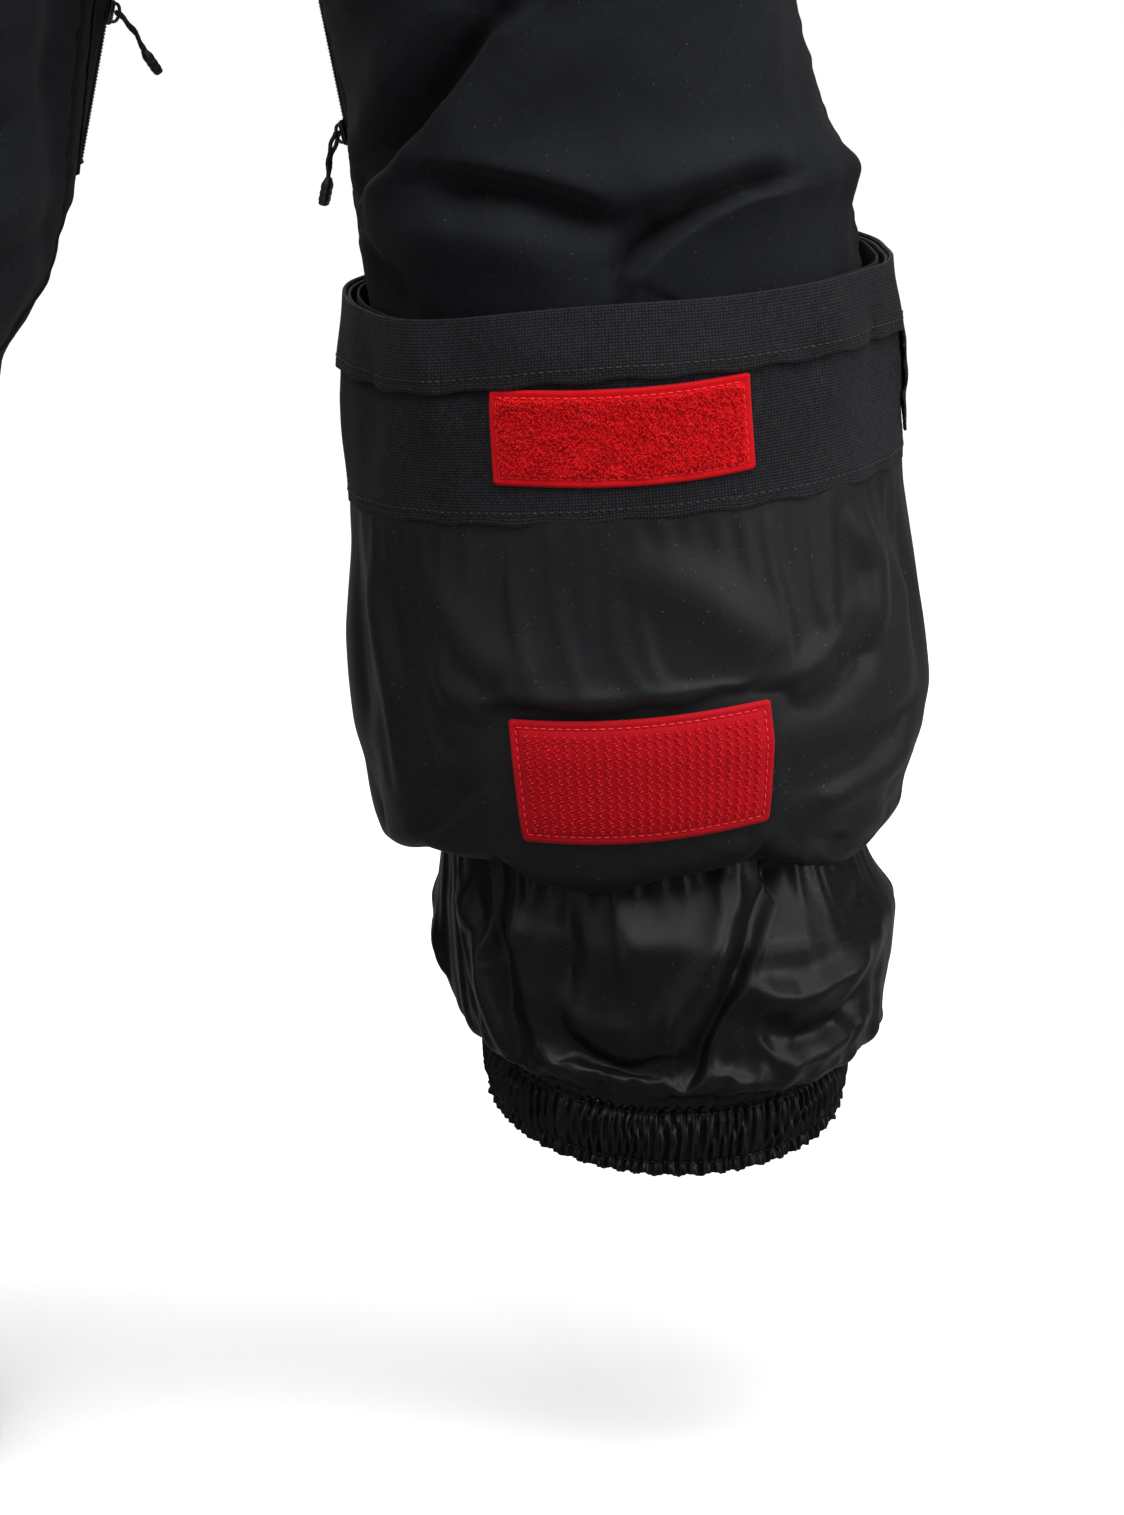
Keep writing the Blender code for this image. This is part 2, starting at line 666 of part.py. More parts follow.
def build_fly():
    """The fly zip bridges the middle seam on a flat tape."""
    def front(height):
        s = RIGHT_LEG.section(height)
        return s.centre_y - s.half_depth * math.sin(math.radians(RIGHT_LEG.inner_angle(height)))

    start = Vector((0, front(FLY_LOW) - 0.0040, FLY_LOW - WAIST_TOP))
    end = Vector((0, front(FLY_HIGH) - 0.0030, FLY_HIGH - WAIST_TOP))
    facing = Vector((0, -1, 0))
    frame = frame_between(start, end, facing)
    length = (end - start).length
    tape_face = -(TAPE + GAP)
    bevelled_box(
        "fly_zip_tape", (-0.012, tape_face, 0), (0.012, -GAP, length), 0.0003, frame, "zip_tape"
    )
    Zip("fly", start, end, facing, 0.88, 0.024, 0.0060, 8).build()


def main():
    clear_scene()
    collection = bpy.data.collections.new("trousers")
    bpy.context.scene.collection.children.link(collection)
    build_leg_cloth()
    build_right_cuff()
    build_left_cuff()
    for side in LEGS:
        build_gaiter(side)
    build_waist()
    build_pockets()
    build_zips()


main()
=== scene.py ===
"""Looks for insulated over-trousers: one cuff turned up, one let down, a boot gaiter in each leg.

Cloth is built on Tubes, stacks of ellipses that match the frame, so that a place on the cloth is a
height above the wearer's ground and an angle: 0 inner side, 90 front, 180 outer side, 270 back.
"""

from __future__ import annotations

import json
import logging
import math
from dataclasses import dataclass
from collections.abc import Callable
from enum import Enum

import bpy
import numpy as np
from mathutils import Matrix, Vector

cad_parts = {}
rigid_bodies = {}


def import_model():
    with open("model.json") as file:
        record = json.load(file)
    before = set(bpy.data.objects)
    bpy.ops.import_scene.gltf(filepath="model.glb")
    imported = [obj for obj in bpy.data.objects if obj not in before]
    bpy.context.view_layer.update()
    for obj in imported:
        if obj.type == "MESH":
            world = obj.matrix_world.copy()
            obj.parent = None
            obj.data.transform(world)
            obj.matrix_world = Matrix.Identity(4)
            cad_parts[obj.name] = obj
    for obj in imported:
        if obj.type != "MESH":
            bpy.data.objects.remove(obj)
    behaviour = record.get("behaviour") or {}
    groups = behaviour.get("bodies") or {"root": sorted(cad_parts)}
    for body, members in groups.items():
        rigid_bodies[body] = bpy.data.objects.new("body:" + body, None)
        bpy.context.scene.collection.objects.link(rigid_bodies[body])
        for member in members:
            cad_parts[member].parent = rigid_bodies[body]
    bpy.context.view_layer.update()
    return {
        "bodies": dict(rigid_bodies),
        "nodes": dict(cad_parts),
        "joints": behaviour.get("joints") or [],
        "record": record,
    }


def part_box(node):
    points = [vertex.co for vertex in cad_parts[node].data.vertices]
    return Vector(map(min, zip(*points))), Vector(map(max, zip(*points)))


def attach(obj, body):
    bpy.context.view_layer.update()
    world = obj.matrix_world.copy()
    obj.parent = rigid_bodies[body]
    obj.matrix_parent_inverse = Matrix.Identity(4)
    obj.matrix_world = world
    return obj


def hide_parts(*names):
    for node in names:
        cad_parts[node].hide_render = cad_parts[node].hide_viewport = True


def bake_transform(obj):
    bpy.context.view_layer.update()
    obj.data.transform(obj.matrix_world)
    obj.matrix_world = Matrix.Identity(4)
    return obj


log = logging.getLogger("trousers")

WAIST_TOP = 1.040
RIGHT, LEFT = -1, 1
SIDE_NAMES = {RIGHT: "right", LEFT: "left"}
BODY = "garment"

Array = np.ndarray


# ---------------------------------------------------------------- finishes


class Weave(Enum):
    """How the threads of a cloth cross."""

    PLAIN = "plain"
    OXFORD = "oxford"
    SATIN = "satin"
    RIBBED = "ribbed"


@dataclass(frozen=True)
class Cloth:
    """A woven finish.

    pitch is the width of one thread in metres and relief the height of its rounding. high is the lighter
    colour of worn places and also a painted highlight on the threads' crowns.
    """

    name: str
    colour: tuple[float, float, float]
    high: tuple[float, float, float]
    weave: Weave
    pitch: float
    relief: float
    roughness: float
    sheen: float
    sheen_roughness: float = 0.5
    specular: float = 0.5
    lint: float = 0.10

    def material(self) -> bpy.types.Material:
        """Returns the material of this cloth, made once."""
        if self.name in bpy.data.materials and "made_here" in bpy.data.materials[self.name]:
            return bpy.data.materials[self.name]
        made = bpy.data.materials.new(self.name)
        made["made_here"] = True
        made.use_nodes = True
        tree = Nodes(made.node_tree)
        shader = made.node_tree.nodes["Principled BSDF"]
        shader.inputs["Sheen Weight"].default_value = self.sheen
        shader.inputs["Sheen Roughness"].default_value = self.sheen_roughness
        shader.inputs["Specular IOR Level"].default_value = self.specular
        threads = tree.group(
            weave_group(self.weave), {"Thread width": self.pitch, "Relief": 1.0}
        )
        # The thread height also paints a highlight on the threads' crowns through the cloth group's colour
        # mix.
        surface = tree.group(
            cloth_group(),
            {
                "Colour": (*self.colour, 1),
                "Worn colour": (*self.high, 1),
                "Roughness": self.roughness,
                "Lint": self.lint,
                "Thread": threads.outputs["Height"],
            },
        )
        bump = tree.node("ShaderNodeBump")
        bump.inputs["Distance"].default_value = self.relief
        bump.inputs["Strength"].default_value = 1.0
        tree.link(threads.outputs["Height"], bump.inputs["Height"])
        tree.link(surface.outputs["Colour"], shader.inputs["Base Color"])
        tree.link(surface.outputs["Roughness"], shader.inputs["Roughness"])
        tree.link(bump.outputs["Normal"], shader.inputs["Normal"])
        return made


@dataclass(frozen=True)
class Solid:
    """A smooth moulded, coated or metal finish with a fine grain."""

    name: str
    colour: tuple[float, float, float]
    worn: tuple[float, float, float]
    roughness: float
    metallic: float = 0.0
    grain: float = 0.00004
    grain_size: float = 0.0006

    def material(self) -> bpy.types.Material:
        """Returns the material of this finish, made once."""
        if self.name in bpy.data.materials and "made_here" in bpy.data.materials[self.name]:
            return bpy.data.materials[self.name]
        made = bpy.data.materials.new(self.name)
        made["made_here"] = True
        made.use_nodes = True
        tree = Nodes(made.node_tree)
        shader = made.node_tree.nodes["Principled BSDF"]
        shader.inputs["Metallic"].default_value = self.metallic
        grain = tree.group(
            grain_group(),
            {
                "Colour": (*self.colour, 1),
                "Worn colour": (*self.worn, 1),
                "Roughness": self.roughness,
                "Grain size": self.grain_size,
            },
        )
        bump = tree.node("ShaderNodeBump")
        bump.inputs["Distance"].default_value = self.grain
        tree.link(grain.outputs["Height"], bump.inputs["Height"])
        tree.link(grain.outputs["Colour"], shader.inputs["Base Color"])
        tree.link(grain.outputs["Roughness"], shader.inputs["Roughness"])
        tree.link(bump.outputs["Normal"], shader.inputs["Normal"])
        return made


class Nodes:
    """Short ways to add and join the nodes of one tree."""

    def __init__(self, tree: bpy.types.NodeTree) -> None:
        """Keeps the tree that the nodes go in."""
        self.tree = tree

    def node(self, kind: str) -> bpy.types.Node:
        """Returns a new node of this kind."""
        return self.tree.nodes.new(kind)

    def link(self, source: bpy.types.NodeSocket, target: bpy.types.NodeSocket) -> None:
        """Joins an output to an input."""
        self.tree.links.new(source, target)

    def feed(self, target: bpy.types.NodeSocket, value: object) -> None:
        """Joins a socket to an input, or sets the input's own value."""
        if isinstance(value, bpy.types.NodeSocket):
            self.link(value, target)
        else:
            target.default_value = value

    def math(self, operation: str, *values: object, clamp: bool = False) -> bpy.types.NodeSocket:
        """Returns the result of a Math node."""
        made = self.node("ShaderNodeMath")
        made.operation = operation
        made.use_clamp = clamp
        for target, value in zip(made.inputs, values):
            self.feed(target, value)
        return made.outputs[0]

    def mix(self, share: object, first: object, second: object) -> bpy.types.NodeSocket:
        """Returns a colour mixed from two."""
        made = self.node("ShaderNodeMix")
        made.data_type = "RGBA"
        self.feed(made.inputs["Factor"], share)
        self.feed(made.inputs[6], first)
        self.feed(made.inputs[7], second)
        return made.outputs[2]

    def noise(self, vector: object, scale: float, detail: float = 2.0) -> bpy.types.NodeSocket:
        """Returns the value of a noise texture."""
        made = self.node("ShaderNodeTexNoise")
        made.inputs["Scale"].default_value = scale
        made.inputs["Detail"].default_value = detail
        self.feed(made.inputs["Vector"], vector)
        return made.outputs["Fac"]

    def step(self, value: object, low: float, high: float) -> bpy.types.NodeSocket:
        """Returns 0 below low and 1 above high, with a smooth rise between."""
        made = self.node("ShaderNodeMapRange")
        made.interpolation_type = "SMOOTHSTEP"
        self.feed(made.inputs["Value"], value)
        made.inputs["From Min"].default_value = low
        made.inputs["From Max"].default_value = high
        return made.outputs["Result"]

    def group(self, tree: bpy.types.NodeTree, values: dict[str, object]) -> bpy.types.Node:
        """Returns a group node with its inputs fed."""
        made = self.node("ShaderNodeGroup")
        made.node_tree = tree
        for name, value in values.items():
            self.feed(made.inputs[name], value)
        return made


def new_group(
    name: str, inputs: dict[str, tuple[str, object]], outputs: dict[str, str]
) -> tuple[bpy.types.NodeTree, Nodes, bpy.types.Node, bpy.types.Node]:
    """Makes an empty node group.

    Args:
        name: what it is called.
        inputs: socket name to its type and first value.
        outputs: socket name to its type.

    Returns:
        The group, a Nodes for it, its input node and its output node.
    """
    tree = bpy.data.node_groups.new(name, "ShaderNodeTree")
    for title, (kind, value) in inputs.items():
        socket = tree.interface.new_socket(name=title, in_out="INPUT", socket_type=kind)
        socket.default_value = value
    for title, kind in outputs.items():
        tree.interface.new_socket(name=title, in_out="OUTPUT", socket_type=kind)
    nodes = Nodes(tree)
    return tree, nodes, nodes.node("NodeGroupInput"), nodes.node("NodeGroupOutput")


def weave_group(weave: Weave) -> bpy.types.NodeTree:
    """Returns the group that gives the height of crossing threads from UVs in metres."""
    name = f"threads_{weave.value}"
    if name in bpy.data.node_groups:
        return bpy.data.node_groups[name]
    tree, nodes, given, out = new_group(
        name,
        {"Thread width": ("NodeSocketFloat", 0.0008), "Relief": ("NodeSocketFloat", 1.0)},
        {"Height": "NodeSocketFloat"},
    )
    place = nodes.node("ShaderNodeUVMap")
    split = nodes.node("ShaderNodeSeparateXYZ")
    nodes.link(place.outputs["UV"], split.inputs[0])
    width = given.outputs["Thread width"]
    u = nodes.math("DIVIDE", split.outputs[0], width)
    v = nodes.math("DIVIDE", split.outputs[1], width)
    if weave is Weave.SATIN:
        u = nodes.math("ADD", u, nodes.math("MULTIPLY", v, 0.35))
        v = nodes.math("MULTIPLY", v, 0.12)
    if weave is Weave.RIBBED:
        v = nodes.math("MULTIPLY", v, 0.35)
    across = nodes.math("SINE", nodes.math("MULTIPLY", u, math.pi))
    along = nodes.math("SINE", nodes.math("MULTIPLY", v, math.pi))
    cross = nodes.math("MULTIPLY", across, along)
    if weave in (Weave.OXFORD, Weave.PLAIN):
        dots = nodes.math("ABSOLUTE", cross)
        over = nodes.math("MULTIPLY_ADD", cross, 0.22, 0.3)
        cross = nodes.math("MULTIPLY_ADD", nodes.math("POWER", dots, 0.7), 0.6, over)
    else:
        cross = nodes.math("MULTIPLY_ADD", cross, 0.5, 0.5)
    slub = nodes.node("ShaderNodeCombineXYZ")
    nodes.link(nodes.math("MULTIPLY", split.outputs[0], 900.0), slub.inputs[0])
    nodes.link(nodes.math("MULTIPLY", split.outputs[1], 140.0), slub.inputs[1])
    uneven = nodes.noise(slub.outputs[0], 1.0)
    height = nodes.math("MULTIPLY_ADD", uneven, 0.5, nodes.math("MULTIPLY", cross, 0.8))
    nodes.link(nodes.math("MULTIPLY", height, given.outputs["Relief"]), out.inputs["Height"])
    return tree


def cloth_group() -> bpy.types.NodeTree:
    """Returns the group that gives cloth its uneven colour, its lint, its roughness and a painted highlight
    on the threads' crowns.
    """
    if "cloth_surface" in bpy.data.node_groups:
        return bpy.data.node_groups["cloth_surface"]
    tree, nodes, given, out = new_group(
        "cloth_surface",
        {
            "Colour": ("NodeSocketColor", (0.02, 0.02, 0.02, 1)),
            "Worn colour": ("NodeSocketColor", (0.05, 0.05, 0.05, 1)),
            "Roughness": ("NodeSocketFloat", 0.7),
            "Lint": ("NodeSocketFloat", 0.3),
            "Thread": ("NodeSocketFloat", 0.5),
        },
        {"Colour": "NodeSocketColor", "Roughness": "NodeSocketFloat"},
    )
    place = nodes.node("ShaderNodeTexCoord").outputs["Object"]
    broad = nodes.noise(place, 9.0, 3.0)
    fine = nodes.noise(place, 420.0, 2.0)
    share = nodes.math("MULTIPLY_ADD", broad, 0.45, nodes.math("MULTIPLY", fine, 0.35))
    # The thread height pushes the colour towards the lighter colour on the threads' crowns: a painted
    # highlight on the weave, on top of the random uneven tone.
    share = nodes.math("MULTIPLY_ADD", given.outputs["Thread"], 0.45, share)
    share = nodes.step(share, 0.35, 1.05)
    colour = nodes.mix(share, given.outputs["Colour"], given.outputs["Worn colour"])
    specks = nodes.step(nodes.noise(place, 900.0, 0.0), 0.80, 0.86)
    specks = nodes.math("MULTIPLY", specks, given.outputs["Lint"])
    colour = nodes.mix(specks, colour, (0.30, 0.30, 0.31, 1))
    rough = nodes.math("MULTIPLY_ADD", broad, 0.14, nodes.math("SUBTRACT", given.outputs["Roughness"], 0.07))
    rough = nodes.math("MULTIPLY_ADD", fine, 0.08, rough, clamp=True)
    nodes.link(colour, out.inputs["Colour"])
    nodes.link(rough, out.inputs["Roughness"])
    return tree


def grain_group() -> bpy.types.NodeTree:
    """Returns the group that gives moulded and metal pieces their grain and rubbed places."""
    if "grain_surface" in bpy.data.node_groups:
        return bpy.data.node_groups["grain_surface"]
    tree, nodes, given, out = new_group(
        "grain_surface",
        {
            "Colour": ("NodeSocketColor", (0.02, 0.02, 0.02, 1)),
            "Worn colour": ("NodeSocketColor", (0.05, 0.05, 0.05, 1)),
            "Roughness": ("NodeSocketFloat", 0.5),
            "Grain size": ("NodeSocketFloat", 0.0006),
        },
        {
            "Colour": "NodeSocketColor",
            "Roughness": "NodeSocketFloat",
            "Height": "NodeSocketFloat",
        },
    )
    place = nodes.node("ShaderNodeTexCoord").outputs["Object"]
    scaled = nodes.node("ShaderNodeVectorMath")
    scaled.operation = "SCALE"
    nodes.link(place, scaled.inputs[0])
    nodes.link(nodes.math("DIVIDE", 1.0, given.outputs["Grain size"]), scaled.inputs["Scale"])
    grain = nodes.noise(scaled.outputs[0], 1.0, 2.0)
    broad = nodes.noise(place, 160.0, 3.0)
    rubbed = nodes.step(broad, 0.52, 0.72)
    nodes.link(
        nodes.mix(rubbed, given.outputs["Colour"], given.outputs["Worn colour"]),
        out.inputs["Colour"],
    )
    rough = nodes.math("MULTIPLY_ADD", grain, 0.2, nodes.math("SUBTRACT", given.outputs["Roughness"], 0.1))
    nodes.link(nodes.math("MULTIPLY_ADD", rubbed, -0.08, rough, clamp=True), out.inputs["Roughness"])
    nodes.link(grain, out.inputs["Height"])
    return tree


# Each cloth's second, lighter colour is both its worn places and a painted highlight on the threads' crowns,
# mixed in by the weave's height.
MAIN = Cloth(
    "main_cloth", (0.0050, 0.0055, 0.0068), (0.0128, 0.0138, 0.0164),
    Weave.PLAIN, 0.00055, 0.00014, 0.72, 0.02, specular=0.09,
)
LINING = Cloth(
    "satin_lining", (0.0045, 0.0047, 0.0055), (0.0100, 0.0104, 0.0120),
    Weave.SATIN, 0.00045, 0.00005, 0.50, 0.02, specular=0.19, lint=0.16,
)
GAITER = Cloth(
    "gaiter_satin", (0.0018, 0.0020, 0.0026), (0.0042, 0.0045, 0.0054),
    Weave.SATIN, 0.00040, 0.00004, 0.38, 0.01, specular=0.17, lint=0.08,
)
OXFORD = Cloth(
    "oxford_cloth", (0.0010, 0.0010, 0.0016), (0.024, 0.024, 0.029),
    Weave.OXFORD, 0.00125, 0.00080, 0.66, 0.02, specular=0.14,
)
RIBBON = Cloth(
    "zip_ribbon", (0.0090, 0.0090, 0.0100), (0.022, 0.022, 0.024),
    Weave.RIBBED, 0.00060, 0.00018, 0.70, 0.05, specular=0.25,
)
ELASTIC = Cloth(
    "ribbed_elastic", (0.0090, 0.0090, 0.0100), (0.024, 0.024, 0.026),
    Weave.RIBBED, 0.00100, 0.00030, 0.80, 0.05, specular=0.2,
)
RED_PILE = Cloth(
    "red_pile", (0.50, 0.002, 0.006), (0.76, 0.005, 0.012),
    Weave.PLAIN, 0.0006, 0.0002, 0.80, 0.03, specular=0.12, lint=0.0,
)
RED_TAPE = Cloth(
    "red_tape", (0.34, 0.001, 0.006), (0.56, 0.004, 0.013),
    Weave.RIBBED, 0.0006, 0.00012, 0.70, 0.03, specular=0.12, lint=0.0,
)
RED_NYLON = Solid("red_nylon", (0.78, 0.004, 0.012), (0.92, 0.010, 0.020), 0.46)
RED_THREAD = Solid("red_thread", (0.90, 0.020, 0.022), (0.95, 0.05, 0.035), 0.55)
THREAD = Solid("black_thread", (0.012, 0.012, 0.014), (0.035, 0.035, 0.038), 0.50)
COIL = Solid("nylon_coil", (0.0080, 0.0080, 0.0090), (0.020, 0.020, 0.022), 0.34)
METAL = Solid("dark_coated_metal", (0.050, 0.050, 0.055), (0.16, 0.16, 0.165), 0.34, 1.0)
BRAID = Solid(
    "braided_cord", (0.0090, 0.0090, 0.0095), (0.022, 0.022, 0.023),
    0.70, grain=0.00012, grain_size=0.0004,
)
RUBBER = Solid("moulded_rubber", (0.0080, 0.0080, 0.0085), (0.018, 0.018, 0.019), 0.55)


# ---------------------------------------------------------------- shapes


def smooth(x: Array) -> Array:
    """Returns 0 to 1 with level ends, for x from 0 to 1."""
    x = np.clip(x, 0.0, 1.0)
    return x * x * (3.0 - 2.0 * x)


def bell(x: Array) -> Array:
    """Returns a soft bump, 1 at zero and near 0 beyond 2."""
    return np.exp(-(x * x))


def rounded(x: Array, power: int) -> Array:
    """Returns a crown, 1 in the middle and 0 at -1 and 1, flatter for a higher even power."""
    return np.sqrt(np.clip(1 - x**power, 0, 1))


def turned(angle: Array, place: float) -> Array:
    """Returns how far angles are past a place round the leg, from -180 to 180 degrees."""
    return (angle - place + 180.0) % 360.0 - 180.0


@dataclass(frozen=True)
class Tilt:
    """How far rings rise at the front and at the outer side, and where that fades out."""

    front: float = 0.0
    outer: float = 0.0
    full_below: float = 0.0
    none_above: float = 1.0

    def rise(self, height: Array, turn: Array) -> Array:
        """Returns the rise in metres at these heights and angles in radians."""
        share = np.clip((self.none_above - height) / (self.none_above - self.full_below), 0, 1)
        return share * (self.front * np.sin(turn) - self.outer * np.cos(turn))


@dataclass(frozen=True)
class Tube:
    """A stack of ellipses: (height, centre x, half width, centre y, half depth), lowest first."""

    side: int
    sections: tuple[tuple[float, float, float, float, float], ...]
    tilt: Tilt = Tilt()

    def section(self, height: Array) -> tuple[Array, Array, Array, Array]:
        """Returns centre x, half width, centre y and half depth at these heights."""
        table = np.array(self.sections)
        low, span = table[0, 0], table[-1, 0] - table[0, 0]
        dense = np.linspace(-0.02, 1.02, 521)
        found = []
        for column in range(1, 5):
            line = np.interp(low + dense * span, table[:, 0], table[:, column])
            reach = max(1, int(round(0.006 / (dense[1] - dense[0]) / span)))
            window = np.hanning(2 * reach + 3)[1:-1]
            window /= window.sum()
            padded = np.pad(line, reach, mode="edge")
            line = np.convolve(padded, window, mode="valid")
            found.append(np.interp(height, low + dense * span, line))
        return tuple(found)

    def point(self, height: Array, angle: Array, out: Array = 0.0) -> Array:
        """Returns points at these heights and angles in degrees, this far outwards."""
        height, angle, out = np.broadcast_arrays(height, angle, out)
        centre_x, half_width, centre_y, half_depth = self.section(height)
        turn = np.radians(angle)
        x = self.side * (centre_x - (half_width + out) * np.cos(turn))
        y = centre_y - (half_depth + out) * np.sin(turn)
        z = height + self.tilt.rise(height, turn) - WAIST_TOP
        return np.stack([x, y, z], axis=-1)

    def inner_angle(self, height: Array) -> Array:
        """Returns the angle in degrees where the section meets the middle plane."""
        centre_x, half_width, _, _ = self.section(height)
        reach = np.clip((centre_x - 0.0003) / half_width, -1, 1)
        return np.degrees(np.arccos(reach))


@dataclass(frozen=True)
class Fold:
    """A ridge or valley in cloth along a line of (angle, height) places.

    height is positive for a ridge. lean from -1 to 1 makes the side on the left of the line,
    as one walks along it on the unrolled cloth seen from outside, wider or narrower, and
    sharp from 0 to 1 turns its round crest into a crease.
    """

    line: tuple[tuple[float, float], ...]
    height: float
    width: float
    lean: float = 0.0
    fade: float = 0.35
    sharp: float = 0.0

    def relief(self, angle: Array, level: Array, radius: float) -> Array:
        """Returns the displacement in metres at places on cloth of this mean radius."""
        line = np.array(self.line)
        middle = line[:, 0].mean()
        around = turned(angle, middle)
        u, v = np.radians(around) * radius, level
        pu, pv = np.radians(line[:, 0] - middle) * radius, line[:, 1]
        lengths = np.hypot(np.diff(pu), np.diff(pv))
        total, passed = lengths.sum(), 0.0
        nearest = np.full(u.shape, 1e9)
        offset, along = np.zeros(u.shape), np.zeros(u.shape)
        for i, length in enumerate(lengths):
            du, dv = (pu[i + 1] - pu[i]) / length, (pv[i + 1] - pv[i]) / length
            t = (u - pu[i]) * du + (v - pv[i]) * dv
            first, last = (-0.6 * self.width if i == 0 else 0.0), length
            if i == len(lengths) - 1:
                last = length + 0.6 * self.width
            held = np.clip(t, first, last)
            gap = np.hypot(u - pu[i] - held * du, v - pv[i] - held * dv)
            side = (u - pu[i]) * -dv + (v - pv[i]) * du
            better = gap < nearest
            nearest = np.where(better, gap, nearest)
            offset = np.where(better, np.sign(side) * gap, offset)
            along = np.where(better, (passed + np.clip(t, 0, length)) / total, along)
            passed += length
        width = self.width * np.where(offset > 0, 1 + self.lean, 1 - self.lean)
        taper = smooth(np.minimum(along, 1 - along) / self.fade)
        x = offset / width
        crease = np.exp(-1.3 * (np.sqrt(x * x + 0.003) - 0.055))
        shape = (1 - self.sharp) * bell(x) + self.sharp * crease
        return self.height * (0.25 + 0.75 * taper) * shape


@dataclass(frozen=True)
class Ripples:
    """Small uneven waves over a tube of cloth: a sum of seeded waves that closes on itself."""

    seed: int
    size: float
    around: tuple[int, int]
    rise: tuple[float, float]
    count: int = 14

    def relief(self, angle: Array, level: Array) -> Array:
        """Returns the displacement in metres at these places."""
        rng = np.random.default_rng(self.seed)
        total = np.zeros(np.broadcast(angle, level).shape)
        turn = np.radians(angle)
        for _ in range(self.count):
            k = int(rng.integers(self.around[0], self.around[1] + 1))
            m = rng.uniform(*self.rise) * rng.choice([-1, 1])
            total += rng.uniform(0.5, 1.0) * np.sin(k * turn + m * level + rng.uniform(0, 6.28))
        return self.size * total / math.sqrt(self.count)


class Surface:
    """A grid of points on cloth, rows by columns, and how to turn it into a mesh."""

    def __init__(self, points: Array, closed: bool, uv: Array) -> None:
        """Keeps the grid. closed joins the last column to the first."""
        self.points, self.closed, self.uv = points, closed, uv

    def normals(self, outward: int) -> Array:
        """Returns unit normals of the grid, times 1 or -1."""
        p = self.points
        if self.closed:
            across = np.roll(p, -1, axis=1) - np.roll(p, 1, axis=1)
        else:
            across = np.gradient(p, axis=1)
        up = np.gradient(p, axis=0)
        normal = np.cross(across, up) * outward
        length = np.linalg.norm(normal, axis=-1, keepdims=True)
        return normal / np.maximum(length, 1e-12)


def mesh_from(
    name: str, points: Array, quads: Array, uv: Array | None = None, smooth_faces: bool = True
) -> bpy.types.Mesh:
    """Makes a mesh from points, faces of one size and a UV for each point.

    Args:
        name: what the mesh is called.
        points: one row for each vertex.
        quads: one row of vertex numbers for each face.
        uv: one pair for each face corner, or None.
        smooth_faces: whether the faces are shaded smooth.

    Returns:
        The mesh.
    """
    mesh = bpy.data.meshes.new(name)
    count, corners = quads.shape
    mesh.vertices.add(len(points))
    mesh.vertices.foreach_set("co", np.ascontiguousarray(points, np.float32).ravel())
    mesh.loops.add(count * corners)
    mesh.loops.foreach_set("vertex_index", np.ascontiguousarray(quads, np.int32).ravel())
    mesh.polygons.add(count)
    mesh.polygons.foreach_set("loop_start", np.arange(0, count * corners, corners, dtype=np.int32))
    mesh.polygons.foreach_set("use_smooth", np.full(count, smooth_faces))
    if uv is not None:
        layer = mesh.uv_layers.new(name="cloth")
        layer.data.foreach_set("uv", np.ascontiguousarray(uv, np.float32).ravel())
    mesh.update(calc_edges=True)
    mesh.validate()
    return mesh


def grid_quads(rows: int, columns: int, closed_across: bool, closed_up: bool = False) -> Array:
    """Returns the faces of a grid of vertices, row by row, anticlockwise."""
    i = np.arange(rows if closed_up else rows - 1)
    j = np.arange(columns if closed_across else columns - 1)
    i, j = np.meshgrid(i, j, indexing="ij")
    i1, j1 = (i + 1) % rows, (j + 1) % columns
    return np.stack(
        [i * columns + j, i * columns + j1, i1 * columns + j1, i1 * columns + j], axis=-1
    ).reshape(-1, 4)


def corner_uvs(uv: Array, quads: Array, columns: int) -> Array:
    """Returns a UV for each face corner, with the faces over the join kept whole."""
    flat = uv.reshape(-1, 2)[quads]
    first, last = quads[:, 0] % columns, quads[:, 1] % columns
    wrapped = last < first
    step = uv.reshape(-1, uv.shape[-2], 2)
    whole = step[0, -1, 0] + (step[0, -1, 0] - step[0, -2, 0]) - step[0, 0, 0]
    flat[wrapped, 1, 0] += whole
    flat[wrapped, 2, 0] += whole
    return flat


def put(
    name: str, mesh: bpy.types.Mesh, finish: Cloth | Solid, body: str | None = BODY
) -> bpy.types.Object:
    """Adds a piece to the scene, dresses it and makes it ride on a body.

    Args:
        name: what the piece is called.
        mesh: its mesh.
        finish: its finish.
        body: the body it rides on, or None for a piece that rides on none.

    Returns:
        The piece.
    """
    mesh.materials.append(finish.material())
    made = bpy.data.objects.new(name, mesh)
    bpy.context.scene.collection.objects.link(made)
    if body is not None:
        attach(made, body)
    log.info("%s: %d faces", name, len(mesh.polygons))
    return made


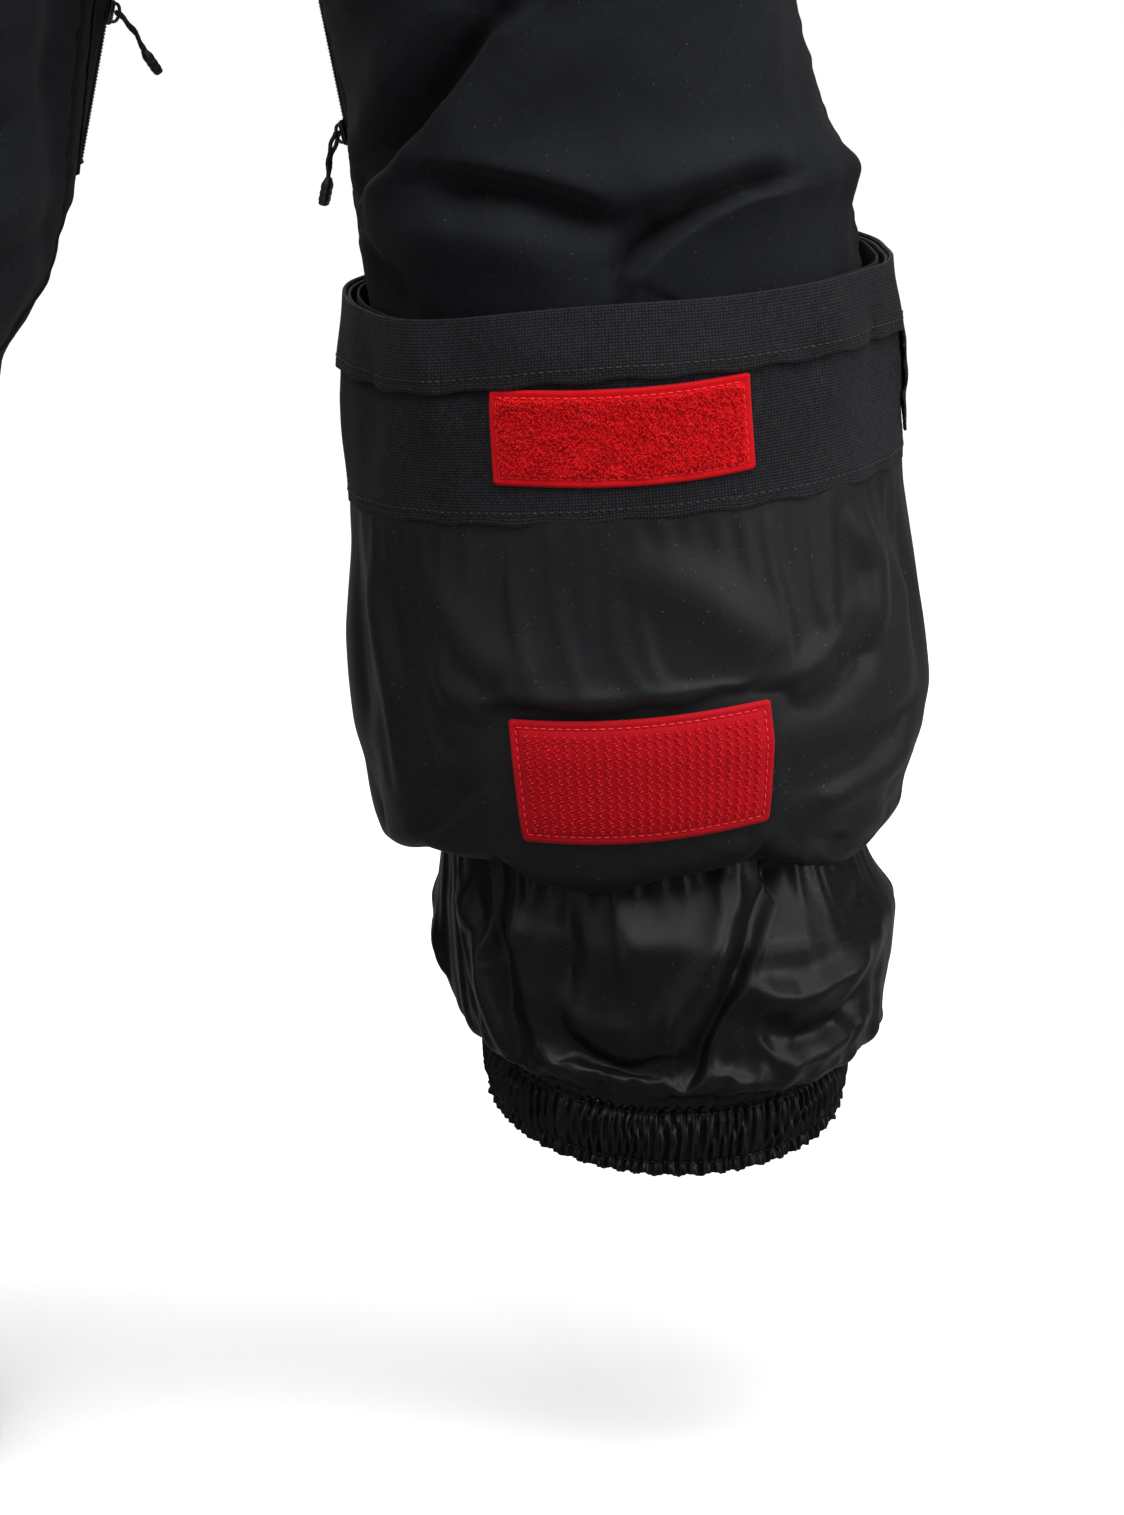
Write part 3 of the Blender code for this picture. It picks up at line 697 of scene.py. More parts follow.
def sheet_mesh(name: str, surface: Surface, side: int, thickness: float) -> bpy.types.Mesh:
    """Makes a closed mesh from a surface: its outer skin, an inner skin and the rims between.

    Args:
        name: what the mesh is called.
        surface: the outer skin.
        side: -1 or 1, which turns its faces outwards.
        thickness: how far inside the inner skin is.

    Returns:
        The mesh.
    """
    rows, columns = surface.points.shape[:2]
    outer = surface.points
    inner = outer - surface.normals(side) * thickness
    quads = grid_quads(rows, columns, surface.closed)
    uv = corner_uvs(surface.uv, quads, columns)
    back = quads[:, ::-1] + rows * columns
    back_uv = uv[:, ::-1]
    rims, rim_uv = [], []
    total = rows * columns
    index = np.arange(total).reshape(rows, columns)

    def rim(line: Array, forward: bool, join: bool) -> None:
        """Adds the faces between the two skins along a line of vertices."""
        following = np.roll(line, -1) if join else line[1:]
        start = line if join else line[:-1]
        pair = (start, following) if forward else (following, start)
        quad = np.stack([pair[1], pair[0], pair[0] + total, pair[1] + total], axis=-1)
        rims.append(quad)
        places = surface.uv.reshape(-1, 2)
        rim_uv.append(places[quad % total])

    rim(index[0], True, surface.closed)
    rim(index[-1], False, surface.closed)
    if not surface.closed:
        rim(index[:, 0], False, False)
        rim(index[:, -1], True, False)
    faces = np.concatenate([quads, back, *rims])
    uvs = np.concatenate([uv, back_uv, *rim_uv])
    if side < 0:
        faces, uvs = faces[:, ::-1], uvs[:, ::-1]
    points = np.concatenate([outer.reshape(-1, 3), inner.reshape(-1, 3)])
    return mesh_from(name, points, faces, uvs)


def loop_mesh(name: str, surface: Surface, side: int) -> bpy.types.Mesh:
    """Makes a closed ring from a surface whose rows go all round a cloth's thickness."""
    rows, columns = surface.points.shape[:2]
    quads = grid_quads(rows, columns, surface.closed, closed_up=True)
    uv = corner_uvs(surface.uv, quads, columns)
    last = quads[:, 3] < quads[:, 0]
    uv[last, 2:, 1] += surface.uv[-1, 0, 1] - surface.uv[0, 0, 1]
    if side < 0:
        quads, uv = quads[:, ::-1], uv[:, ::-1]
    return mesh_from(name, surface.points.reshape(-1, 3), quads, uv)


def lip_profile(low: float, high: float, out: float, thickness: float, step: float) -> Array:
    """Returns the closed outline of a folded strip of cloth as rows of (height, out).

    It goes up the outside, over the top, down the inside and round the bottom.
    """
    radius = thickness / 2
    count = max(2, int(round((high - low - thickness) / step)))
    up = np.linspace(low + radius, high - radius, count)
    turn = np.radians(np.linspace(15, 165, 5))
    top = np.stack([high - radius + radius * np.sin(turn), out - radius + radius * np.cos(turn)], -1)
    bottom = np.stack([low + radius - radius * np.sin(turn), out - radius - radius * np.cos(turn)], -1)
    rise = np.stack([up, np.full(count, out)], -1)
    fall = np.stack([up[::-1], np.full(count, out - thickness)], -1)
    return np.concatenate([rise, top, fall, bottom])


@dataclass(frozen=True)
class StitchLine:
    """A row of stitches along a line of points, standing on cloth.

    length is one stitch and gap the space to the next, in metres.
    """

    length: float = 0.0024
    gap: float = 0.0010
    thread: float = 0.00055

    def pieces(self, line: Array, normals: Array) -> tuple[Array, Array]:
        """Returns the vertices and faces of the stitches.

        Args:
            line: points along the seam.
            normals: the cloth's normal at each point.
        """
        lengths = np.linalg.norm(np.diff(line, axis=0), axis=1)
        along = np.concatenate([[0], np.cumsum(lengths)])
        starts = np.arange(0.0, along[-1] - self.length, self.length + self.gap)
        if not len(starts):
            return np.zeros((0, 3)), np.zeros((0, 4), int)
        share = np.array([0.0, 0.12, 0.5, 0.88, 1.0])
        width = np.array([0.35, 0.85, 1.0, 0.85, 0.35]) * self.thread / 2
        lift = np.array([-0.6, 0.1, 0.45, 0.1, -0.6]) * self.thread / 2
        at = starts[:, None] + share[None, :] * self.length
        place = np.stack([np.interp(at, along, line[:, k]) for k in range(3)], -1)
        normal = np.stack([np.interp(at, along, normals[:, k]) for k in range(3)], -1)
        normal /= np.linalg.norm(normal, axis=-1, keepdims=True)
        forward = place[:, -1:] - place[:, :1]
        forward = forward / np.maximum(np.linalg.norm(forward, axis=-1, keepdims=True), 1e-9)
        across = np.cross(normal, np.broadcast_to(forward, normal.shape))
        turn = np.radians(np.arange(6) * 60.0)
        ring = (
            place[:, :, None]
            + normal[:, :, None]
            * (
                lift[None, :, None, None]
                + width[None, :, None, None] * np.sin(turn)[None, None, :, None]
            )
            + across[:, :, None] * (width[None, :, None, None] * np.cos(turn)[None, None, :, None])
        )
        count = len(starts)
        quads = grid_quads(5, 6, True)
        caps = np.array([[3, 2, 1, 0], [5, 4, 3, 0], [24, 25, 26, 27], [24, 27, 28, 29]])
        quads = np.concatenate([quads, caps])
        faces = quads[None] + (np.arange(count) * 30)[:, None, None]
        return ring.reshape(-1, 3), faces.reshape(-1, 4)


class Stitching:
    """All the stitches of one colour on one body, gathered in one mesh."""

    def __init__(self, name: str, finish: Solid, slot: str, body: str = BODY) -> None:
        """Starts with no stitches."""
        self.name, self.finish, self.slot, self.body = name, finish, slot, body
        self.points: list[Array] = []
        self.faces: list[Array] = []
        self.count = 0

    def add(self, line: Array, normals: Array, kind: StitchLine = StitchLine()) -> None:
        """Adds a row of stitches along a line."""
        points, faces = kind.pieces(line, normals)
        self.points.append(points)
        self.faces.append(faces + self.count)
        self.count += len(points)

    def build(self) -> bpy.types.Object:
        """Makes the piece and returns it."""
        mesh = mesh_from(self.name, np.concatenate(self.points), np.concatenate(self.faces))
        return put(self.name, mesh, self.finish, self.body)


# ---------------------------------------------------------------- the garment's block

HIPS = (
    (0.790, 0.1056, 0.1050, 0.005, 0.1215),
    (0.815, 0.0963, 0.1130, 0.008, 0.1290),
    (0.840, 0.0776, 0.1294, 0.010, 0.1365),
    (0.880, 0.0485, 0.1565, 0.0108, 0.1412),
    (0.930, 0.0180, 0.1800, 0.0100, 0.1307),
    (0.970, 0.0000, 0.1850, 0.0055, 0.1225),
    (1.000, 0.0000, 0.1720, 0.0000, 0.1140),
)
CUFF_TILT = Tilt(front=0.010, outer=0.009, full_below=0.490, none_above=0.555)
RIGHT_LEG = Tube(
    RIGHT,
    (
        (0.268, 0.1770, 0.0920, 0.000, 0.0740),
        (0.350, 0.1720, 0.0960, 0.000, 0.0780),
        (0.440, 0.1665, 0.0980, 0.000, 0.0820),
        (0.480, 0.1645, 0.0995, 0.000, 0.0860),
        (0.5154, 0.1580, 0.1005, -0.002, 0.0900),
        (0.5555, 0.1510, 0.0973, -0.004, 0.0910),
        (0.596, 0.1408, 0.0968, -0.004, 0.0930),
        (0.700, 0.1280, 0.1065, 0.001, 0.1060),
        *HIPS,
    ),
    CUFF_TILT,
)
LEFT_LEG = Tube(
    LEFT,
    (
        (0.040, 0.1990, 0.1030, 0.004, 0.1000),
        (0.160, 0.1910, 0.0970, 0.004, 0.0940),
        (0.300, 0.1860, 0.0910, 0.004, 0.0860),
        (0.400, 0.1810, 0.0890, 0.002, 0.0840),
        (0.452, 0.1745, 0.0885, -0.002, 0.0860),
        (0.485, 0.1605, 0.0960, -0.006, 0.0910),
        (0.5154, 0.1560, 0.1000, -0.010, 0.0930),
        (0.5555, 0.1500, 0.0985, -0.010, 0.0930),
        (0.596, 0.1437, 0.0970, -0.008, 0.0940),
        (0.700, 0.1280, 0.1065, 0.001, 0.1060),
        *HIPS,
    ),
)
RIGHT_CUFF = Tube(
    RIGHT,
    (
        (0.262, 0.1775, 0.0965, 0.000, 0.0780),
        (0.269, 0.1775, 0.1060, 0.000, 0.0870),
        (0.288, 0.1768, 0.1120, 0.000, 0.0930),
        (0.312, 0.1760, 0.1165, 0.000, 0.0970),
        (0.350, 0.1720, 0.1155, 0.000, 0.0960),
        (0.404, 0.1693, 0.1130, 0.000, 0.0940),
        (0.4475, 0.1665, 0.1125, 0.000, 0.0950),
        (0.4895, 0.1655, 0.1095, 0.000, 0.0960),
    ),
    CUFF_TILT,
)
GAITERS = {
    RIGHT: Tube(
        RIGHT,
        (
            (0.1485, 0.1860, 0.0725, 0.000, 0.0745),
            (0.1765, 0.1860, 0.0740, 0.000, 0.0750),
            (0.188, 0.1890, 0.0860, 0.000, 0.0820),
            (0.210, 0.1890, 0.0955, 0.000, 0.0870),
            (0.232, 0.1890, 0.0985, 0.000, 0.0860),
            (0.254, 0.1840, 0.0885, 0.000, 0.0695),
            (0.266, 0.1790, 0.0860, 0.000, 0.0670),
            (0.300, 0.1760, 0.0820, 0.000, 0.0650),
        ),
        Tilt(front=0.0205, outer=-0.002, full_below=0.178, none_above=0.266),
    ),
    LEFT: Tube(
        LEFT,
        (
            (0.1485, 0.1910, 0.0725, 0.004, 0.0720),
            (0.1765, 0.1910, 0.0740, 0.004, 0.0725),
            (0.188, 0.1905, 0.0800, 0.004, 0.0770),
            (0.236, 0.1880, 0.0820, 0.004, 0.0780),
            (0.300, 0.1860, 0.0820, 0.004, 0.0780),
        ),
        Tilt(front=0.010, outer=0.0, full_below=0.175, none_above=0.262),
    ),
}
WAIST = Tube(LEFT, ((1.000, 0.0, 0.1740, 0.0, 0.1165), (1.040, 0.0, 0.1705, 0.0, 0.1135)))


def surface_of(
    tube: Tube, heights: Array, angles: Array, closed: bool, out: Array = 0.0, relief: Array = 0.0
) -> Surface:
    """Returns the cloth over a tube.

    Args:
        tube: what it follows.
        heights: one height for each row, or a grid of them.
        angles: one angle for each column, or a grid of them.
        closed: whether the last column joins the first.
        out: distance outwards, for the whole cloth or as a grid.
        relief: how far the cloth stands off along its normal.

    Returns:
        The surface, with UVs in metres.
    """
    if heights.ndim == 1:
        heights = heights[:, None]
    if angles.ndim == 1:
        angles = angles[None, :]
    heights, angles = np.broadcast_arrays(heights, angles)
    points = tube.point(heights, angles, out)
    around = np.radians(angles) * 0.1
    uv = np.stack([around, np.broadcast_to(heights, angles.shape)], axis=-1)
    surface = Surface(points, closed, uv)
    if np.ndim(relief) or relief:
        surface.points = points + surface.normals(tube.side) * np.asarray(relief)[..., None]
    return surface


def puckers(distance: Array, along: Array, size: float, pitch: float, reach: float, seed: int) -> Array:
    """Returns small gathers beside a seam.

    Args:
        distance: how far each place is from the seam, in metres.
        along: how far along the seam each place is.
        size: height of the gathers.
        pitch: their usual spacing.
        reach: how far from the seam they fade out.
        seed: which gathers.
    """
    rng = np.random.default_rng(seed)
    wave = np.zeros(np.broadcast(distance, along).shape)
    for share, weight in ((1.0, 0.6), (1.37, 0.5), (0.71, 0.5), (2.3, 0.25)):
        slant = rng.uniform(-0.5, 0.5)
        wave += weight * np.sin(
            2 * np.pi * (along + slant * distance) / (pitch / share) + rng.uniform(0, 6.28)
        )
    return size * wave * np.exp(-np.abs(distance) / reach)


class Leg:
    """One leg's outer cloth, with its folds, seams and inner face."""

    folds: tuple[Fold, ...] = ()

    def __init__(self, tube: Tube, low: float, stitching: Stitching, seed: int) -> None:
        """Keeps the leg's block, the height of its lower end and where its stitches go."""
        self.tube, self.low, self.stitching, self.seed = tube, low, stitching, seed
        self.name = SIDE_NAMES[tube.side]

    def relief(self, angle: Array, level: Array) -> Array:
        """Returns how far the cloth stands off its block at these places."""
        base = Ripples(self.seed, 0.0014, (2, 7), (8, 36)).relief(angle, level)
        base += Ripples(self.seed + 1, 0.00045, (6, 22), (30, 130)).relief(angle, level)
        for fold in self.folds:
            base += fold.relief(angle, level, 0.098)
        base += 0.0026 * bell((level - 0.70) / 0.20) * np.sin(np.radians(angle * 2 + 500 * level))
        seam = self.seam_relief(angle, level)
        inner = self.tube.inner_angle(level)
        from_inner = np.radians(np.minimum(angle - inner, 360 - inner - angle)) * 0.1
        open_seam = (inner > 0.5) | (level > 0.79)
        hold = np.where(open_seam, smooth((from_inner - 0.002) / 0.03), 1.0)
        hold = hold * smooth((1.0 - level) / 0.035 + 0.05)
        return base * hold * self.calm(angle, level) + seam

    def calm(self, angle: Array, level: Array) -> Array:
        """Returns 1 on free cloth, and less where a zip or a pocket holds it flat."""
        free = np.ones(np.broadcast(angle, level).shape)
        for place, half, low, high, left in (
            (18.0, 0.013, 0.520, 0.735, 0.06),
            (130.0, 0.013, 0.834, 0.976, 0.10),
            (175.0, 0.056, 0.608, 0.788, 0.25),
        ):
            aside = np.radians(np.abs(turned(angle, place))) * 0.1 - half
            above = np.maximum(low - level, level - high)
            away = smooth(np.maximum(np.maximum(aside, above), 0.0) / 0.018)
            free = free * (left + (1 - left) * away)
        return free

    def seam_relief(self, angle: Array, level: Array) -> Array:
        """Returns the grooves and gathers along the outer and inner seams."""
        total = np.zeros(np.broadcast(angle, level).shape)
        for place in (180.0, 0.0):
            apart = np.radians(turned(angle, place)) * 0.1
            hold = 1.0 if place else (level < 0.78).astype(float)
            groove = -0.0011 * bell(apart / 0.0011) + 0.0006 * bell((apart - 0.0035) / 0.003)
            total += hold * (groove + puckers(apart, level, 0.00045, 0.016, 0.014, 11))
        return total

    def build(self) -> None:
        """Makes the outer cloth, its inner face and its seam stitches."""
        # The rows are closer together where the cloth bunches behind the knee.
        marks = np.arange(self.low, 0.9996, 0.0001)
        steps = np.where((marks > 0.478) & (marks < 0.612), 0.0012, 0.0024)
        count = np.cumsum(0.0001 / steps)
        heights = np.interp(np.linspace(count[0], count[-1], int(count[-1])), count, marks)
        heights[-1] = 0.9996
        share = np.linspace(0, 1, 381)
        inner = self.tube.inner_angle(heights)[:, None]
        below = smooth((0.80 - heights) / 0.012)[:, None]
        first = np.maximum(inner, 0.15 * (1 - below))
        angles = first + (360 - 2 * first) * share[None, :]
        level = np.broadcast_to(heights[:, None], angles.shape)
        relief = self.relief(angles, level)
        surface = surface_of(self.tube, level, angles, False, 0.0, relief)
        mesh = sheet_mesh(f"{self.name}_leg_cloth", surface, self.tube.side, 0.0016)
        made = put(f"{self.name}_leg_cloth", mesh, MAIN)
        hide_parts(f"{self.name}_front_panel", f"{self.name}_back_panel")
        self.stitch()

    def stitch(self) -> None:
        """Adds two rows of stitches beside the outer seam."""
        heights = np.arange(self.low + 0.004, 0.996, 0.004)
        for place in (176.6, 175.0):
            line, normals = self.along(heights, np.full(heights.shape, place))
            self.stitching.add(line, normals)

    def along(self, heights: Array, angles: Array, out: float = 0.0) -> tuple[Array, Array]:
        """Returns points and normals on the finished cloth along a line."""
        step = 0.3
        here = self.spot(heights, angles, out)
        across = self.spot(heights, angles + step, out) - self.spot(heights, angles - step, out)
        up = self.spot(heights + 0.001, angles, out) - self.spot(heights - 0.001, angles, out)
        normal = np.cross(across, up) * self.tube.side
        normal /= np.linalg.norm(normal, axis=-1, keepdims=True)
        return here, normal

    def spot(self, heights: Array, angles: Array, out: float = 0.0) -> Array:
        """Returns points on the finished cloth."""
        return self.tube.point(heights, angles, out + self.relief(angles, heights))


class RightLeg(Leg):
    """The right leg, bunched behind the knee above its turned-up cuff."""

    folds = (
        Fold(
            (
                (272, 0.595), (287, 0.580), (294, 0.571), (304, 0.553),
                (317, 0.540), (329, 0.530), (341, 0.520),
            ),
            0.0080, 0.0110, -0.70, 0.20, 1.0,
        ),
        Fold(
            (
                (284, 0.589), (299, 0.565), (309, 0.551), (321, 0.539),
                (335, 0.527),
            ),
            -0.0145, 0.0056, 0.35, 0.25, 0.4,
        ),
        Fold(
            (
                (262, 0.610), (285, 0.600), (305, 0.582), (322, 0.560),
                (340, 0.545),
            ),
            0.0060, 0.0120, 0.3, 0.3,
        ),
        Fold(((255, 0.592), (275, 0.569), (293, 0.549), (309, 0.5335)), 0.0040, 0.0125, 0.0, 0.3),
        Fold(
            (
                (310, 0.5385), (297, 0.5365), (286, 0.5330), (274, 0.5270),
                (266, 0.5215),
            ),
            0.0052, 0.0090, -0.60, 0.25, 1.0,
        ),
        Fold(
            (
                (312, 0.5300), (297, 0.5300), (285, 0.5270), (275, 0.5215),
                (268, 0.5160), (262, 0.5170),
            ),
            -0.0125, 0.0058, 0.20, 0.28, 0.3,
        ),
        Fold(((330, 0.5135), (306, 0.5145), (288, 0.5110), (272, 0.5035)), 0.0072, 0.0100, 0.2, 0.35),
        Fold(
            (
                (266, 0.4860), (264, 0.4960), (259.5, 0.5030), (254, 0.5085),
                (247, 0.5145), (237, 0.5195), (219, 0.5215),
            ),
            0.0072, 0.0100, 0.65, 0.22, 1.0,
        ),
        Fold(
            (
                (270, 0.4880), (268, 0.4990), (263.5, 0.5065), (257, 0.5125),
                (248, 0.5195), (237, 0.5245), (221, 0.5265),
            ),
            -0.0125, 0.0044, -0.35, 0.22, 0.5,
        ),
        Fold(((262, 0.5205), (250, 0.5285), (236, 0.5330), (214, 0.5390)), 0.0050, 0.0090, 0.0, 0.35),
        Fold(((350, 0.510), (340, 0.500), (330, 0.493), (320, 0.485)), -0.0060, 0.0090, 0.0, 0.4),
        Fold(((205, 0.610), (216, 0.580), (229, 0.552), (240, 0.525)), 0.0034, 0.013, 0.0, 0.35),
        Fold(((246, 0.625), (247, 0.590), (254, 0.560)), -0.0026, 0.012, 0.0, 0.4),
        Fold(((200, 0.545), (190, 0.520), (197, 0.495)), 0.0028, 0.009, 0.0, 0.4),
        Fold(((20, 0.520), (350, 0.530), (335, 0.545)), 0.0060, 0.011, 0.2, 0.4),
        Fold(((60, 0.505), (90, 0.514), (125, 0.506)), 0.0058, 0.011, 0.3, 0.35),
        Fold(((50, 0.530), (85, 0.543), (120, 0.533)), -0.0036, 0.010, 0.0, 0.4),
        Fold(((130, 0.525), (155, 0.515), (175, 0.500)), 0.0050, 0.011, 0.2, 0.4),
        Fold(((30, 0.66), (70, 0.62), (110, 0.60)), 0.0040, 0.015, 0.0, 0.4),
        Fold(((150, 0.70), (120, 0.665), (80, 0.650)), -0.0034, 0.014, 0.0, 0.4),
        Fold(((20, 0.775), (60, 0.745), (105, 0.730)), 0.0060, 0.014, 0.3, 0.35),
        Fold(((28, 0.800), (70, 0.778), (115, 0.775)), -0.0044, 0.011, 0.0, 0.4),
        Fold(((335, 0.775), (300, 0.748), (250, 0.738)), 0.0068, 0.014, -0.3, 0.35),
        Fold(((330, 0.798), (295, 0.778), (245, 0.772)), -0.0050, 0.010, 0.0, 0.4),
        Fold(((325, 0.730), (290, 0.700), (240, 0.685)), 0.0046, 0.015, 0.0, 0.4),
        Fold(((300, 0.660), (270, 0.640), (225, 0.645)), -0.0040, 0.014, 0.0, 0.4),
        Fold(((335, 0.640), (318, 0.615), (300, 0.600)), 0.0060, 0.012, 0.3, 0.35),
        Fold(((170, 0.790), (150, 0.760), (120, 0.745)), 0.0036, 0.015, 0.0, 0.4),
        Fold(((300, 0.860), (260, 0.835), (220, 0.840)), 0.0042, 0.018, 0.0, 0.4),
        Fold(((75, 0.860), (110, 0.835), (150, 0.830)), 0.0036, 0.016, 0.0, 0.4),
    )


class LeftLeg(Leg):
    """The left leg, let down to its hem over the boot."""

    folds = (
        Fold(((344, 0.680), (344, 0.600), (350, 0.470)), -0.0085, 0.024, 0.0, 0.3),
        Fold(((340, 0.520), (300, 0.500), (255, 0.505)), 0.0075, 0.013, 0.2, 0.3),
        Fold(((345, 0.500), (305, 0.482), (265, 0.486), (240, 0.478)), -0.0070, 0.008, 0.0, 0.3),
        Fold(((340, 0.560), (305, 0.535), (270, 0.528)), -0.0060, 0.010, 0.0, 0.35),
        Fold(((345, 0.450), (310, 0.462), (270, 0.450), (230, 0.456)), 0.0050, 0.012, 0.0, 0.35),
        Fold(((20, 0.500), (60, 0.486), (100, 0.492), (150, 0.480)), -0.0052, 0.010, 0.0, 0.35),
        Fold(((15, 0.470), (60, 0.460), (110, 0.468)), 0.0046, 0.012, 0.0, 0.35),
        Fold(((10, 0.575), (350, 0.590), (325, 0.600)), 0.0050, 0.012, 0.0, 0.4),
        Fold(((315, 0.420), (300, 0.340), (290, 0.240)), 0.0040, 0.017, 0.0, 0.35),
        Fold(((240, 0.430), (250, 0.340), (262, 0.220), (255, 0.120)), -0.0038, 0.016, 0.0, 0.35),
        Fold(((205, 0.400), (215, 0.300), (212, 0.180)), 0.0042, 0.018, 0.0, 0.35),
        Fold(((60, 0.430), (68, 0.320), (62, 0.200)), -0.0040, 0.016, 0.0, 0.35),
        Fold(((110, 0.420), (100, 0.300), (112, 0.150)), 0.0044, 0.018, 0.0, 0.35),
        Fold(((150, 0.380), (142, 0.270), (150, 0.130)), -0.0034, 0.015, 0.0, 0.35),
        Fold(((350, 0.150), (310, 0.110), (270, 0.120)), 0.0060, 0.013, 0.2, 0.35),
        Fold(((330, 0.105), (290, 0.075), (250, 0.085)), -0.0046, 0.010, 0.0, 0.35),
        Fold(((30, 0.140), (80, 0.115), (120, 0.125)), 0.0056, 0.013, 0.2, 0.35),
        Fold(((50, 0.180), (90, 0.160), (140, 0.172)), -0.0040, 0.011, 0.0, 0.35),
        Fold(((180, 0.120), (215, 0.095), (245, 0.100)), 0.0044, 0.012, 0.0, 0.35),
        Fold(((20, 0.775), (60, 0.745), (105, 0.730)), 0.0060, 0.014, 0.3, 0.35),
        Fold(((28, 0.800), (70, 0.778), (115, 0.775)), -0.0044, 0.011, 0.0, 0.4),
        Fold(((335, 0.770), (300, 0.742), (250, 0.735)), 0.0064, 0.014, -0.3, 0.35),
        Fold(((330, 0.795), (295, 0.774), (245, 0.768)), -0.0050, 0.010, 0.0, 0.4),
        Fold(((325, 0.720), (290, 0.695), (240, 0.690)), 0.0046, 0.015, 0.0, 0.4),
        Fold(((300, 0.650), (270, 0.630), (225, 0.640)), -0.0044, 0.014, 0.0, 0.4),
        Fold(((335, 0.640), (305, 0.600), (270, 0.590)), 0.0060, 0.013, 0.3, 0.35),
        Fold(((50, 0.660), (90, 0.640), (130, 0.650)), 0.0036, 0.015, 0.0, 0.4),
        Fold(((170, 0.790), (150, 0.760), (120, 0.745)), 0.0036, 0.015, 0.0, 0.4),
        Fold(((300, 0.855), (260, 0.832), (220, 0.838)), 0.0044, 0.018, 0.0, 0.4),
        Fold(((75, 0.862), (110, 0.838), (150, 0.832)), 0.0036, 0.016, 0.0, 0.4),
    )


def settle(
    name: str, surface: Surface, side: int, hold: Array, frames: int, grow: float, bend: float, puff: float
) -> Surface:
    """Lets a grid of cloth fall and buckle, with some of it held still.

    Args:
        name: what the working piece is called.
        surface: the cloth before it falls.
        side: -1 or 1, which turns its faces outwards.
        hold: how firmly each point is held, 1 for still.
        frames: how long it falls.
        grow: how much longer the cloth is than the place it is held in.
        bend: how much it resists bending.
        puff: pressure outwards.

    Returns:
        The settled surface.
    """
    rows, columns = surface.points.shape[:2]
    quads = grid_quads(rows, columns, surface.closed)
    if side < 0:
        quads = quads[:, ::-1]
    mesh = mesh_from(name, surface.points.reshape(-1, 3), quads)
    piece = bpy.data.objects.new(name, mesh)
    bpy.context.scene.collection.objects.link(piece)
    group = piece.vertex_groups.new(name="hold")
    flat = np.clip(hold, 0, 1).ravel()
    for value in np.unique(np.round(flat, 2)):
        if value > 0:
            chosen = np.flatnonzero(np.abs(flat - value) < 0.0051)
            group.add(chosen.tolist(), float(value), "REPLACE")
    cloth = piece.modifiers.new("settle", "CLOTH")
    settings = cloth.settings
    settings.quality = 6
    settings.mass = 0.12
    settings.tension_stiffness = 18
    settings.compression_stiffness = 18
    settings.shear_stiffness = 6
    settings.bending_stiffness = bend
    settings.air_damping = 3.0
    settings.vertex_group_mass = "hold"
    settings.shrink_min = -grow
    settings.use_pressure = puff != 0
    settings.uniform_pressure_force = puff
    cloth.collision_settings.use_collision = False
    scene = bpy.context.scene
    scene.frame_start, scene.frame_end = 1, frames
    cloth.point_cache.frame_start, cloth.point_cache.frame_end = 1, frames
    for frame in range(1, frames + 1):
        scene.frame_set(frame)
    graph = bpy.context.evaluated_depsgraph_get()
    settled = piece.evaluated_get(graph).to_mesh()
    points = np.empty(rows * columns * 3, np.float32)
    settled.vertices.foreach_get("co", points)
    piece.evaluated_get(graph).to_mesh_clear()
    bpy.data.objects.remove(piece)
    scene.frame_set(1)
    return Surface(points.reshape(rows, columns, 3).astype(float), surface.closed, surface.uv)


def kept_near(before: Array, after: Array, most: float) -> Array:
    """Returns the settled points, none of them moved further than the most that is allowed."""
    move = after - before
    length = np.linalg.norm(move, axis=-1, keepdims=True)
    return before + move * np.minimum(1.0, most * np.tanh(length / most) / np.maximum(length, 1e-9))


def smoothed(points: Array, closed: bool, times: int) -> Array:
    """Returns a grid of points with its small kinks eased out, its first and last rows kept."""
    for _ in range(times):
        eased = points.copy()
        left = np.roll(points, 1, axis=1)
        right = np.roll(points, -1, axis=1)
        if not closed:
            left[:, 0], right[:, -1] = points[:, 0], points[:, -1]
        eased[1:-1] = 0.5 * points[1:-1] + 0.125 * (
            points[:-2] + points[2:] + left[1:-1] + right[1:-1]
        )
        points = eased
    return points


def finer(surface: Surface, times: int = 2) -> Surface:
    """Returns the same grid with more rows and columns, by smooth interpolation."""
    points = surface.points
    columns = points.shape[1]

    def refine(values: Array, axis: int, closed: bool) -> Array:
        """Returns values refined along one axis with a cubic through each point."""
        values = np.moveaxis(values, axis, 0)
        n = len(values)
        if closed:
            padded = np.concatenate([values[-1:], values, values[:2]])
            steps = n * times
        else:
            first = 2 * values[:1] - values[1:2]
            last = 2 * values[-1:] - values[-2:-1]
            padded = np.concatenate([first, values, last])
            steps = (n - 1) * times + 1
        t = np.arange(steps) / times
        i = np.minimum(t.astype(int), n - (1 if closed else 2))
        f = (t - i).reshape(-1, *([1] * (values.ndim - 1)))
        a, b, c, d = padded[i], padded[i + 1], padded[i + 2], padded[np.minimum(i + 3, len(padded) - 1)]
        found = b + 0.5 * f * (c - a + f * (2 * a - 5 * b + 4 * c - d + f * (3 * (b - c) + d - a)))
        return np.moveaxis(found, 0, axis)

    points = refine(refine(points, 1, surface.closed), 0, False)
    uv = surface.uv
    if surface.closed:
        whole = uv[:, -1:] + (uv[:, -1:] - uv[:, -2:-1])
        wide = np.concatenate([uv, whole], axis=1)
        uv = refine(refine(wide, 1, False)[:, : columns * times], 0, False)
    else:
        uv = refine(refine(uv, 1, False), 0, False)
    return Surface(points, surface.closed, uv)


